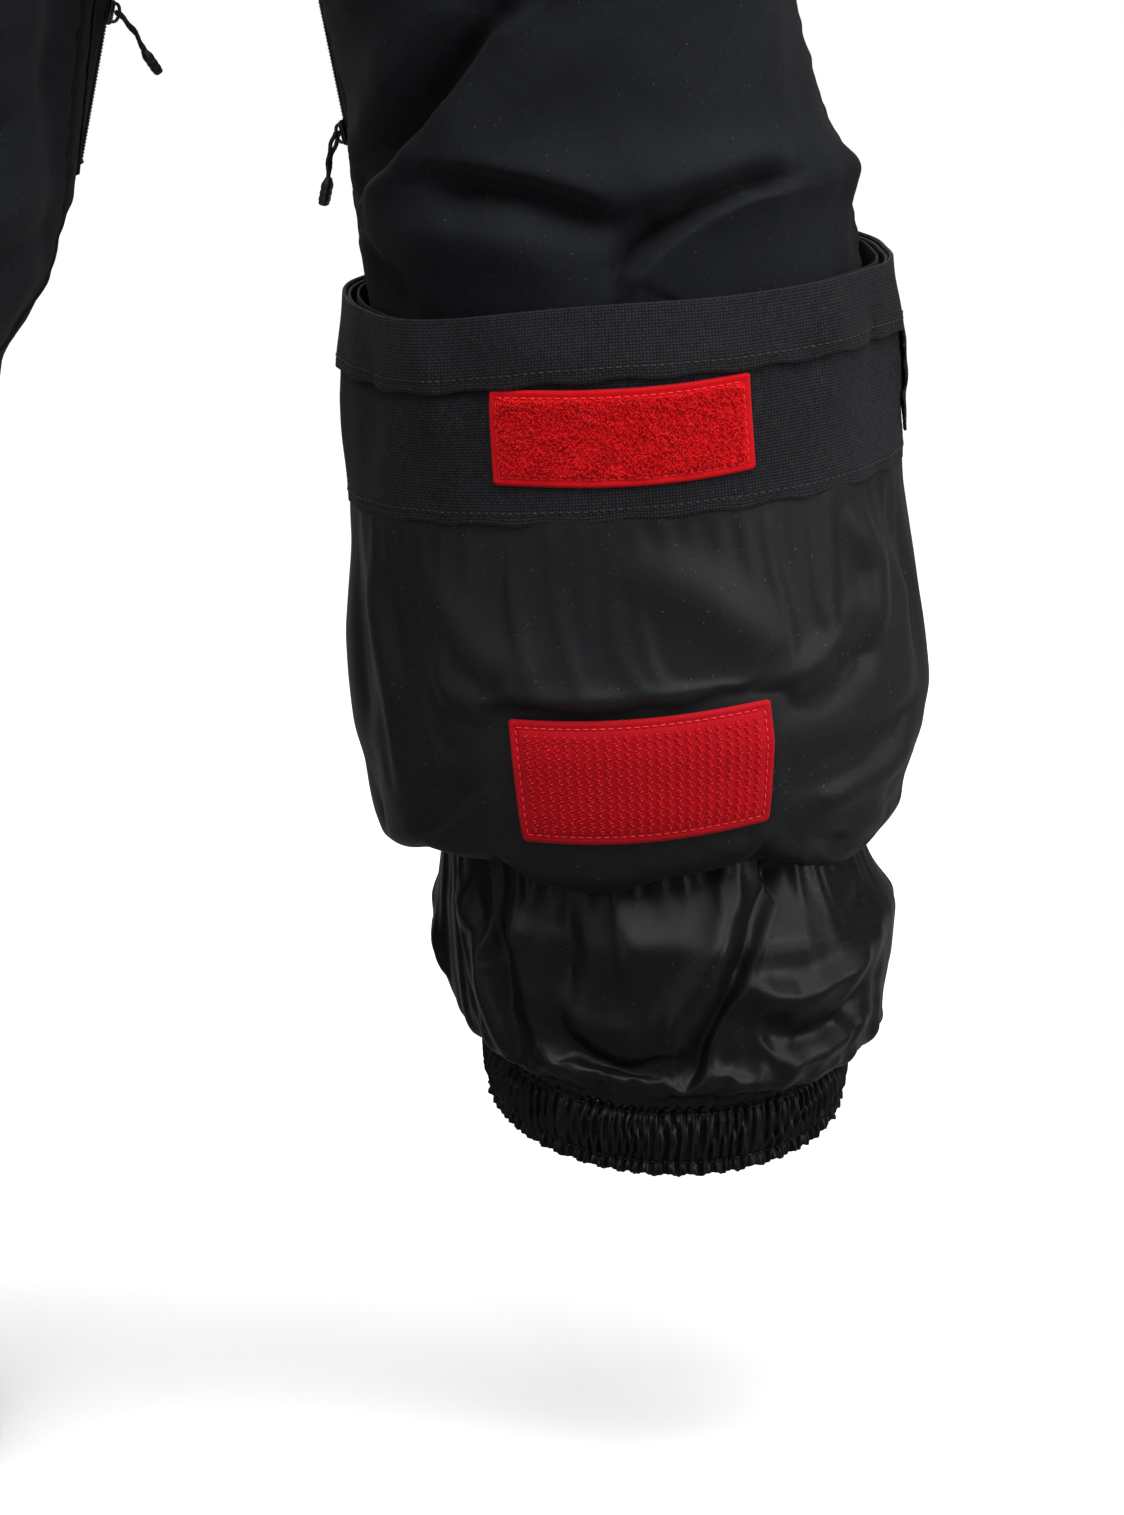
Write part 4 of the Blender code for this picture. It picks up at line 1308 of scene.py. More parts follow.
# ---------------------------------------------------------------- cuff


def ring_of(tube: Tube, profile: Array, angles: Array, relief: Array) -> Surface:
    """Returns a ring of cloth whose cross-section is a closed outline of (height, out) rows."""
    heights = np.broadcast_to(profile[:, :1], (len(profile), len(angles)))
    out = profile[:, 1:] + relief
    around = np.broadcast_to(angles[None, :], heights.shape)
    points = tube.point(heights, around, out)
    steps = np.hypot(*np.diff(profile, axis=0).T)
    up = np.concatenate([[0], np.cumsum(steps)])
    uv = np.stack([np.radians(around) * 0.108, np.broadcast_to(up[:, None], heights.shape)], -1)
    return Surface(points, True, uv)


@dataclass
class Patch:
    """A rectangle of hook-and-loop tape sewn on a cuff.

    low and tall are its lower edge and height and long its length round the cuff.
    """

    name: str
    tube: Tube
    low: float
    tall: float
    finish: Cloth
    slot: str
    middle: float = 270.5
    long: float = 0.105
    out: float = 0.0009
    thick: float = 0.0012
    face: int = 1
    fine: float = 1.0
    relief: Callable[[Array, Array], Array] | None = None

    def spot(self, u: Array, v: Array, out: Array = 0.0) -> Array:
        """Returns points u metres along the patch from its middle and v metres up from its edge."""
        u, v = np.broadcast_arrays(u, v)
        angle = self.middle - np.degrees(u / self.radius()) * self.tube.side * -1
        level = self.low + v + 0.0016 * np.sin(u * 38 + self.low * 40) * (1 - 0.3 * v / self.tall)
        bulge = self.relief(angle, level) if self.relief else 0.0
        return self.tube.point(level, angle, self.face * (self.out + np.asarray(out)) + bulge)

    def radius(self) -> float:
        """Returns how many metres of cuff lie along each radian of angle behind the leg."""
        here = self.tube.point(self.low + self.tall / 2, np.array([265.0, 275.0]))
        return float(np.linalg.norm(here[1] - here[0]) / math.radians(10))

    def normal(self, u: Array, v: Array) -> Array:
        """Returns unit normals that point away from the cloth."""
        du = self.spot(u + 0.0005, v) - self.spot(u - 0.0005, v)
        dv = self.spot(u, v + 0.0005) - self.spot(u, v - 0.0005)
        normal = np.cross(du, dv)
        normal /= np.linalg.norm(normal, axis=-1, keepdims=True)
        outward = np.sign((normal * np.array([0, 1.0, 0])).sum(-1, keepdims=True))
        return normal * outward * self.face

    def base(self) -> None:
        """Makes the tape itself, with cut corners and a rounded rim."""
        corner = 0.0016
        u = np.linspace(-self.long / 2, self.long / 2, 121)
        v = np.linspace(0, 1, 45)
        cut = np.clip(corner - (self.long / 2 - np.abs(u)), 0, corner) * 0.62
        level = cut[None, :] + v[:, None] * (self.tall - 2 * cut[None, :])
        along = np.broadcast_to(u[None, :], level.shape)
        rim = np.minimum(level - cut, self.tall - cut - level)
        rim = np.minimum(rim, (self.long / 2 - np.abs(along)))
        dome = self.thick * np.sqrt(np.clip(1 - (1 - np.clip(rim / 0.0012, 0, 1)) ** 2, 0.02, 1))
        sewn = 0.0007 * bell((rim - 0.0032) / 0.0009)
        points = self.spot(along, level, dome - sewn)
        surface = Surface(points, False, np.stack([along, level], -1))
        turn = self.turn(surface)
        mesh = sheet_mesh(self.name, surface, turn, self.thick)
        made = put(f"{self.name}_tape", mesh, self.finish)
        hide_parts(self.name)

    def turn(self, surface: Surface) -> int:
        """Returns which way the grid's normals have to be turned to face away from the cloth."""
        found = surface.normals(1)[20, 60]
        away = self.normal(np.array(0.0), np.array(self.tall / 2))
        return 1 if float(found @ away) > 0 else -1

    def stitch(self, stitching: Stitching) -> None:
        """Adds the stitches round the edge."""
        inset, half = 0.0032, self.long / 2
        low, high = inset, self.tall - inset
        u = np.linspace(-half + inset, half - inset, 240)
        for v in (low, high):
            level = np.full(u.shape, v)
            stitching.add(self.spot(u, level, self.thick * 0.72), self.normal(u, level))
        v = np.linspace(low, high, 100)
        for side in (-1, 1):
            along = np.full(v.shape, side * (half - inset))
            stitching.add(self.spot(along, v, self.thick * 0.72), self.normal(along, v))


@dataclass
class PilePatch(Patch):
    """The loop half: a brushed pile of curled fibres inside a plain border."""

    def build(self, stitching: Stitching) -> None:
        """Makes the tape, its pile and its stitches."""
        self.base()
        self.pile()
        self.stitch(stitching)

    def pile(self) -> None:
        """Makes the curled fibres."""
        rng = np.random.default_rng(71)
        count = int(11000 * self.fine)
        half = self.long / 2 - 0.0040
        u = rng.uniform(-half, half, count)
        v = rng.uniform(0.0040, self.tall - 0.0040, count)
        clump = np.sin(u * 900 + 3 * np.sin(v * 700)) * np.sin(v * 1000 + 2 * np.sin(u * 600))
        tall = (0.0009 + 0.0013 * rng.random(count)) * (1 + 0.5 * clump)
        lean = rng.uniform(0, 2 * math.pi, count)
        reach = rng.uniform(0.0006, 0.0018, count)
        t = np.linspace(0, 1, 7)[None, :]
        bend = rng.uniform(0.7, 1.9, count)[:, None]
        lift = tall[:, None] * np.sin(np.pi * np.clip(t * bend, 0, 1.15) / 1.3) + self.thick * 0.55
        twist = lean[:, None] + rng.uniform(-2.4, 2.4, count)[:, None] * t
        du = np.cumsum(np.cos(twist), axis=1) / 7 * reach[:, None]
        dv = np.cumsum(np.sin(twist), axis=1) / 7 * reach[:, None]
        line = self.spot(u[:, None] + du, v[:, None] + dv, lift)
        fibres = fibre_mesh(f"{self.name}_pile", line, 0.00018)
        put(f"{self.name}_pile", fibres, RED_FIBRE)


@dataclass
class HookPatch(Patch):
    """The hook half: rows of small moulded hooks in zig-zag columns between plain borders."""

    def build(self, stitching: Stitching) -> None:
        """Makes the tape, its hooks and its stitches."""
        self.base()
        self.hooks()
        self.stitch(stitching)

    def hooks(self) -> None:
        """Makes the hooks, each a bent loop of monofilament."""
        rng = np.random.default_rng(5)
        pitch, rise = 0.00196, 0.00172
        columns = int((self.long - 0.009) / pitch)
        rows = int((self.tall - 0.0095) / rise)
        i, j = np.meshgrid(np.arange(columns), np.arange(rows), indexing="ij")
        u = (i - (columns - 1) / 2) * pitch + rng.normal(0, 0.00008, i.shape)
        u = u + 0.00038 * (1 - 2 * (j % 2)) * (1 - 2 * (i % 2))
        v = 0.0050 + j * rise + 0.5 * rise * (i % 2) + rng.normal(0, 0.00008, i.shape)
        u, v = u.ravel(), v.ravel()
        lean = np.where(i.ravel() % 2 == 0, 1.0, -1.0)
        t = np.linspace(0, 1, 9)
        arch = np.sin(np.pi * np.minimum(t / 0.82, 1.18) * 0.5) ** 0.8
        reach = (1 - np.cos(np.pi * t * 1.15)) * 0.5
        lift = self.thick * 0.6 + 0.0016 * np.clip(arch, 0, 1)[None, :] * (
            1 + 0.1 * rng.normal(0, 1, u.shape)[:, None]
        )
        lift = lift - 0.0009 * smooth((t - 0.72) / 0.28)[None, :]
        du = lean[:, None] * reach[None, :] * 0.00105
        dv = (t[None, :] - 0.5) * 0.0004 * lean[:, None]
        line = self.spot(u[:, None] + du, v[:, None] + dv, lift)
        put(f"{self.name}_hooks", fibre_mesh(f"{self.name}_hooks", line, 0.00030), RED_NYLON)


def fibre_mesh(name: str, line: Array, radius: float) -> bpy.types.Mesh:
    """Makes thin three-sided fibres along many short lines.

    Args:
        name: what the mesh is called.
        line: points, one row of them for each fibre.
        radius: half the fibre's thickness at its foot.
    """
    count, steps = line.shape[:2]
    forward = np.gradient(line, axis=1)
    forward /= np.maximum(np.linalg.norm(forward, axis=-1, keepdims=True), 1e-9)
    across = np.cross(forward, np.array([0.13, 0.21, 0.97]))
    across /= np.maximum(np.linalg.norm(across, axis=-1, keepdims=True), 1e-9)
    up = np.cross(forward, across)
    size = radius * np.linspace(1.0, 0.55, steps)[None, :, None]
    sides = []
    for turn in (0.5 * math.pi, 1.1667 * math.pi, 1.8333 * math.pi):
        sides.append(line + size * (across * math.cos(turn) + up * math.sin(turn)))
    points = np.stack(sides, axis=2).reshape(-1, 3)
    i, k = np.meshgrid(np.arange(steps - 1), np.arange(3), indexing="ij")
    k1 = (k + 1) % 3
    quad = np.stack([i * 3 + k, i * 3 + k1, (i + 1) * 3 + k1, (i + 1) * 3 + k], -1).reshape(-1, 4)
    faces = quad[None] + (np.arange(count) * steps * 3)[:, None, None]
    return mesh_from(name, points, faces.reshape(-1, 4)[:, ::-1])


RED_FIBRE = Solid("red_fibre", (0.97, 0.006, 0.014), (1.0, 0.020, 0.028), 0.60)


class RightCuff:
    """The cuff turned up inside out: its hem band, guard, lining, patches and inner cloth."""

    top = 0.4885
    band_low = 0.4590
    guard_low = 0.4045
    fold_low = 0.2620

    def __init__(self, stitching: Stitching, red: Stitching) -> None:
        """Keeps the stitches' meshes."""
        self.tube, self.stitching, self.red = RIGHT_CUFF, stitching, red

    def sway(self, angle: Array, level: Array) -> Array:
        """Returns the cuff's large soft waves."""
        wave = Ripples(31, 0.0011, (2, 6), (3, 22)).relief(angle, level)
        wave += Ripples(32, 0.00035, (8, 26), (10, 60)).relief(angle, level)
        for fold in (
            Fold(((318, 0.492), (312, 0.465), (309, 0.430)), 0.0030, 0.011),
            Fold(((300, 0.488), (286, 0.470), (262, 0.462), (236, 0.466)), 0.0014, 0.009),
            Fold(((228, 0.490), (222, 0.462), (226, 0.425)), 0.0034, 0.012),
            Fold(((208, 0.485), (204, 0.455), (210, 0.415)), -0.0034, 0.009),
            Fold(((192, 0.488), (188, 0.455), (186, 0.420)), 0.0030, 0.010),
            Fold(((334, 0.485), (332, 0.455), (336, 0.415)), -0.0030, 0.009),
            Fold(((352, 0.486), (350, 0.450), (354, 0.410)), 0.0026, 0.010),
        ):
            wave += fold.relief(angle, level, 0.108)
        return wave

    def rim(self, angle: Array) -> Array:
        """Returns how far the cuff's top edge rises and falls round the leg."""
        turn = np.radians(angle)
        return 0.0016 * np.sin(3 * turn + 0.6) + 0.0010 * np.sin(5 * turn + 2.0) - 0.001

    def strip(self, low: float, high: float, out: float, thick: float, wavy: float) -> Surface:
        """Makes one heavy woven ring and returns its surface."""
        angles = np.arange(0, 360, 0.75)
        profile = lip_profile(low, high, out, thick, 0.0020)
        levels = np.broadcast_to(profile[:, :1], (len(profile), len(angles)))
        share = (levels - self.guard_low) / (self.top - self.guard_low)
        relief = self.sway(angles[None, :], levels) * (0.65 + 0.35 * share)
        edge = bell((levels - low) / 0.004)
        relief = relief + wavy * edge * self.frill(angles[None, :])
        surface = ring_of(self.tube, profile, angles, relief)
        lift = smooth(np.clip((levels - self.guard_low) / 0.06, 0, 1)) * self.rim(angles)[None, :]
        drop = 0.0006 * edge * np.sin(np.radians(angles * 23))[None, :]
        surface.points[..., 2] += lift + drop
        return surface

    def frill(self, angle: Array) -> Array:
        """Returns the small uneven waves of a lower edge, strongest at the outer side."""
        turn = np.radians(angle)
        rough = 0.35 + 0.65 * bell(turned(angle, 200) / 34.0)
        return rough * (np.sin(17 * turn + 1.0) + 0.6 * np.sin(31 * turn) + 0.4 * np.sin(43 * turn + 2))

    def build(self) -> None:
        """Makes every piece of the cuff."""
        guard = self.strip(self.guard_low, self.top - 0.0012, 0.0006, 0.0016, 0.0005)
        made = put(
            "right_cuff_guard_cloth",
            loop_mesh("right_cuff_guard_cloth", guard, RIGHT),
            OXFORD,
        )
        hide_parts("right_cuff_guard")
        band = self.strip(self.band_low, self.top, 0.0028, 0.0018, 0.0004)
        made = put(
            "right_hem_band_cloth", loop_mesh("right_hem_band_cloth", band, RIGHT), OXFORD
        )
        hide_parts("right_hem_band")
        self.edge_stitches(guard, 0.0034)
        self.edge_stitches(band, 0.0034)
        self.inner_cloth()
        self.lining()
        self.side_flap()
        bulge = self.patch_relief
        PilePatch(
            "right_loop_patch", self.tube, 0.4195, 0.038, RED_PILE, "red_loop_pile", out=0.0012, relief=bulge
        ).build(self.red)
        HookPatch(
            "right_hook_patch", self.tube, 0.2785, 0.050, RED_TAPE, "red_hook_tape", out=0.0010, relief=bulge
        ).build(self.red)

    def patch_relief(self, angle: Array, level: Array) -> Array:
        """Returns the guard's waves under the loop patch; the lining is flat under the hook patch."""
        share = (level - self.guard_low) / (self.top - self.guard_low)
        return self.sway(angle, level) * (0.65 + 0.35 * share) * smooth((level - 0.36) / 0.04)

    def pressed(self, angle: Array, level: Array) -> Array:
        """Returns 1 where the hook patch presses the lining flat and 0 well away from it."""
        aside = np.radians(np.abs(turned(angle, 270.5))) * 0.108 - 0.0535
        above = np.abs(level - 0.3035) - 0.0265
        return smooth(1 - np.maximum(np.maximum(aside, above), 0) / 0.010)

    def edge_stitches(self, surface: Surface, inset: float) -> None:
        """Adds a row of stitches a little above a ring's lower edge."""
        row = int(round(inset / 0.0020))
        line = surface.points[row]
        normals = surface.normals(RIGHT)[row]
        closed = np.concatenate([line, line[:1]])
        self.stitching.add(closed, np.concatenate([normals, normals[:1]]))

    lining_folds = (
        Fold(((322, 0.396), (303.5, 0.355), (284, 0.333)), 0.0042, 0.012, 0.0, 0.4),
        Fold(((278, 0.396), (256, 0.372), (234, 0.337)), 0.0042, 0.013, 0.0, 0.4),
        Fold(((297, 0.396), (276, 0.364), (268, 0.338)), -0.0036, 0.011, 0.0, 0.4),
        Fold(((222, 0.402), (211, 0.372), (214, 0.333)), 0.0050, 0.0080, 0.0, 0.3),
        Fold(((204, 0.400), (190, 0.355), (196, 0.318)), -0.0046, 0.0070, 0.0, 0.35),
        Fold(((337, 0.392), (331, 0.350), (327, 0.318)), 0.0042, 0.0095, 0.0, 0.35),
        Fold(((346, 0.396), (342, 0.350), (344, 0.310)), -0.0038, 0.0080, 0.0, 0.35),
        Fold(((243, 0.333), (231, 0.343), (220, 0.356)), 0.0040, 0.0055, 0.0, 0.3),
        Fold(((240, 0.324), (226, 0.330), (212, 0.342)), -0.0034, 0.0050, 0.0, 0.3),
        Fold(((297, 0.330), (307, 0.340), (318, 0.349)), 0.0036, 0.0055, 0.0, 0.3),
        Fold(((239, 0.292), (217, 0.300), (194, 0.312)), -0.0050, 0.0065, 0.0, 0.3),
        Fold(((236, 0.281), (214, 0.287), (192, 0.297)), 0.0036, 0.0070, 0.0, 0.3),
        Fold(((293, 0.284), (311, 0.292), (324, 0.304)), -0.0044, 0.0065, 0.0, 0.3),
        Fold(((20, 0.398), (34, 0.350), (30, 0.300)), 0.0042, 0.011, 0.0, 0.4),
        Fold(((60, 0.396), (72, 0.340), (66, 0.295)), -0.0036, 0.010, 0.0, 0.4),
        Fold(((105, 0.398), (96, 0.350), (110, 0.300)), 0.0046, 0.012, 0.0, 0.4),
        Fold(((140, 0.396), (150, 0.350), (142, 0.300)), 0.0040, 0.010, 0.0, 0.4),
        Fold(((165, 0.396), (172, 0.345), (166, 0.300)), -0.0040, 0.009, 0.0, 0.4),
    )

    def inner_cloth(self) -> None:
        """Makes the cuff's own outer cloth, which faces the leg now that it is turned up."""
        angles = np.arange(0, 360, 1.5)
        profile = lip_profile(0.288, self.top - 0.001, -0.0034, 0.0011, 0.005)
        levels = np.broadcast_to(profile[:, :1], (len(profile), len(angles)))
        surface = ring_of(self.tube, profile, angles, self.sway(angles[None, :], levels) * 0.8)
        share = smooth(np.clip((levels - self.guard_low) / 0.06, 0, 1))
        surface.points[..., 2] += share * self.rim(angles)[None, :]
        made = put(
            "right_cuff_inner_cloth", loop_mesh("right_cuff_inner_cloth", surface, RIGHT), MAIN
        )
        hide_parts("right_cuff_cloth")

    def lumps(self, angle: Array) -> Array:
        """Returns how far the turned edge hangs below its mean height round the leg."""
        def near(place: float, width: float) -> Array:
            """Returns a bump round one angle."""
            return bell(turned(angle, place) / width)

        turn = np.radians(angle)
        drop = 0.0050 * near(281, 15) + 0.0120 * near(212, 24) + 0.0050 * near(192, 12)
        drop += -0.0030 * near(252, 13) - 0.0110 * near(330, 20) + 0.005 * near(150, 16)
        drop += 0.004 * near(100, 20) + 0.005 * near(45, 18) - 0.004 * near(72, 10) - 0.004 * near(125, 12)
        return drop + 0.0010 * np.sin(9 * turn) + 0.0006 * np.sin(17 * turn + 1)

    def lining(self) -> None:
        """Makes the satin lining, gathered into the guard and bulging where it turns under."""
        columns, rows = 288, 80
        angles = np.arange(columns) * 360.0 / columns
        t = np.linspace(0, 1, rows)
        # The profile starts under the guard, comes down outside and turns up inside at the bottom.
        outside = int(rows * 0.80)
        down = self.guard_low + 0.004 - (self.guard_low + 0.004 - 0.271) * np.linspace(0, 1, outside)
        turn = np.linspace(0.0, 1.0, rows - outside + 1)[1:]
        depth = 0.0105
        curl = np.pi * np.minimum(turn, 0.62) / 0.62
        curl_height = 0.271 - 0.0095 * np.sin(curl * 0.5) + np.clip(turn - 0.62, 0, 1) * 0.034
        curl_out = -depth * (1 - np.cos(curl)) * 0.62 - 0.002 * turn
        heights = np.concatenate([down, curl_height])
        out = np.concatenate([np.full(outside, -0.0006), curl_out])
        # Every turned place hangs lower or higher with the lumps, most at the bottom.
        weight = smooth((0.335 - np.minimum(heights, 0.335)) / 0.06)
        level = heights[:, None] - weight[:, None] * self.lumps(angles)[None, :]
        around = np.broadcast_to(angles[None, :], level.shape)
        gathers = self.gathers(around, level)
        body = bell((heights - 0.335) / 0.05)[:, None]
        puffed = body * (0.0020 + 0.0022 * np.sin(np.radians(angles * 4) + 1.0)[None, :])
        free = 1 - self.pressed(around, level)
        soft = self.sway(around, level) * 0.7
        for fold in self.lining_folds:
            soft = soft + fold.relief(around, level, 0.110)
        radial = out[:, None] + (puffed + gathers + soft) * free - 0.0004 * (1 - free)
        # Above the turn the lining lies over the cuff's own cloth and never sinks into it.
        over = np.arange(rows)[:, None] < outside
        radial = np.where(over, np.maximum(radial, 0.8 * self.sway(around, level) - 0.0017), radial)
        surface = surface_of(self.tube, level, around, True, radial)
        down_uv = np.broadcast_to(-0.3 * t[:, None], level.shape)
        surface.uv = np.stack([np.radians(around) * 0.112, down_uv], -1)
        hold = np.zeros((rows, columns))
        hold[:3] = 1
        hold[-3:] = 1
        off_patch = np.abs(turned(around, 270.5)) / 29.0
        on_hook = (off_patch < 1.02) & (level > 0.277) & (level < 0.3305) & over
        on_loop = (off_patch < 1.02) & (level > 0.40)
        hold[on_hook | on_loop] = 1
        before = surface.points
        outward = surface.normals(-RIGHT)
        surface = settle("lining", surface, RIGHT, hold, 28, 0.042, 0.35, 1.2)
        surface.points = kept_near(before, surface.points, 0.011)
        inward = ((surface.points - before) * outward).sum(-1, keepdims=True)
        surface.points = surface.points + outward * np.maximum(0.0, -0.0009 - inward)
        surface.points = smoothed(surface.points, True, 3)
        surface = finer(surface, 2)
        # The grid runs downwards, so its faces look outwards from the other side.
        mesh = sheet_mesh("right_cuff_lining_cloth", surface, -RIGHT, 0.0009)
        made = put("right_cuff_lining_cloth", mesh, LINING)
        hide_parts("right_cuff_lining")

    def gathers(self, angle: Array, level: Array) -> Array:
        """Returns the narrow ridges where the lining is gathered under the guard's edge."""
        below = np.clip(self.guard_low - level, 0, 1)
        turn = np.radians(angle)
        ridge = 0.5 * np.sin(46 * turn + 2.2 * np.sin(5 * turn))
        ridge += 0.5 * np.sin(63 * turn + 1.5 * np.sin(3 * turn))
        patchy = 0.4 + 0.6 * bell(turned(angle, 202) / 30) + 0.25 * np.sin(7 * turn)
        fade = np.exp(-below / 0.020) * smooth(below / 0.003)
        top = 0.0008 * ridge * patchy * fade
        near_hook = bell((level - 0.336) / 0.012) + bell((level - 0.272) / 0.008)
        corners = bell(turned(angle, 243) / 6) + bell(turned(angle, 299) / 6)
        return top + 0.0009 * near_hook * corners * np.sin(angle * 0.9 + level * 420)

    def side_flap(self) -> None:
        """Makes the wavy seam flap that stands at the cuff's outer side below the hem band."""
        heights = np.linspace(0.414, 0.4640, 30)
        reach = np.linspace(0, 1, 14)
        base, far = 180.0, 189.0
        wave = 0.0012 * np.sin(heights * 560) + 0.0008 * np.sin(heights * 980 + 1)
        width = np.interp(heights, [0.414, 0.420, 0.456, 0.464], [0.35, 0.90, 1.0, 0.9])
        angles = base + (far - base) * reach[None, :] * width[:, None] + np.degrees(wave / 0.11)[:, None]
        level = np.broadcast_to(heights[:, None], angles.shape)
        lift = 0.0022 + 0.0005 * reach[None, :] * (1 + 0.6 * np.sin(heights * 420)[:, None])
        surface = surface_of(self.tube, level, angles, False, lift + self.sway(angles, level))
        mesh = sheet_mesh("right_cuff_seam_flap", surface, RIGHT, 0.0011)
        made = put("right_cuff_seam_flap", mesh, OXFORD)


class LeftCuff:
    """The let-down cuff's inside: lining, guard and hem band, with the two patches facing inwards."""

    hem = 0.040
    guard_high = 0.124
    lining_high = 0.262

    def __init__(self, leg: Leg, stitching: Stitching, red: Stitching) -> None:
        """Keeps the leg it lines and the meshes for the stitches."""
        self.leg, self.stitching, self.red = leg, stitching, red

    def follow(self, angle: Array, level: Array) -> Array:
        """Returns the relief of the leg's own cloth, which the lining follows."""
        return self.leg.relief(angle, level)

    def strip(
        self,
        name: str,
        span: tuple[float, float],
        out: float,
        thick: float,
        finish: Cloth,
        slot: str,
    ) -> Surface:
        """Makes one ring inside the leg.

        Args:
            name: the node that the ring replaces.
            span: its lower and upper edges.
            out: how far its outer face is from the leg's block, negative inwards.
            thick: its thickness.
            finish: its finish.
            slot: not used.
        """
        angles = np.arange(0, 360, 0.9)
        profile = lip_profile(span[0], span[1], out, thick, 0.0024)
        levels = np.broadcast_to(profile[:, :1], (len(profile), len(angles)))
        relief = self.follow(angles[None, :], levels)
        surface = ring_of(self.leg.tube, profile, angles, relief)
        made = put(f"{name}_cloth", loop_mesh(f"{name}_cloth", surface, LEFT), finish)
        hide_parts(name)
        return surface

    def build(self) -> None:
        """Makes the rings, the patches and the stitches."""
        self.strip(
            "left_cuff_lining",
            (self.guard_high + 0.0004, self.lining_high),
            -0.0026,
            0.0010,
            LINING,
            "lining_fabric",
        )
        self.strip(
            "left_cuff_guard", (self.hem + 0.001, self.guard_high), -0.0026, 0.0012, OXFORD, "guard_fabric",
        )
        self.strip(
            "left_hem_band", (self.hem + 0.001, self.hem + 0.029), -0.0044, 0.0014, OXFORD, "guard_fabric",
        )
        angles = np.arange(0, 361, 1.0)
        for level, out in ((self.hem + 0.0262, -0.0060), (self.guard_high - 0.003, -0.0040)):
            heights = np.full(angles.shape, level)
            points = self.leg.tube.point(heights, angles, out + self.follow(angles, heights))
            centre = np.array([points[:, 0].mean(), points[:, 1].mean(), 0.0])
            normals = (centre - points) * np.array([1, 1, 0])
            normals /= np.linalg.norm(normals, axis=1, keepdims=True)
            self.stitching.add(points, normals)
        PilePatch(
            "left_loop_patch", self.leg.tube, 0.0705, 0.038, RED_PILE, "red_loop_pile",
            out=0.0044, face=-1, fine=0.6, relief=self.follow,
        ).build(self.red)
        HookPatch(
            "left_hook_patch", self.leg.tube, 0.184, 0.050, RED_TAPE, "red_hook_tape",
            out=0.0042, face=-1, relief=self.follow,
        ).build(self.red)


# ---------------------------------------------------------------- gaiters


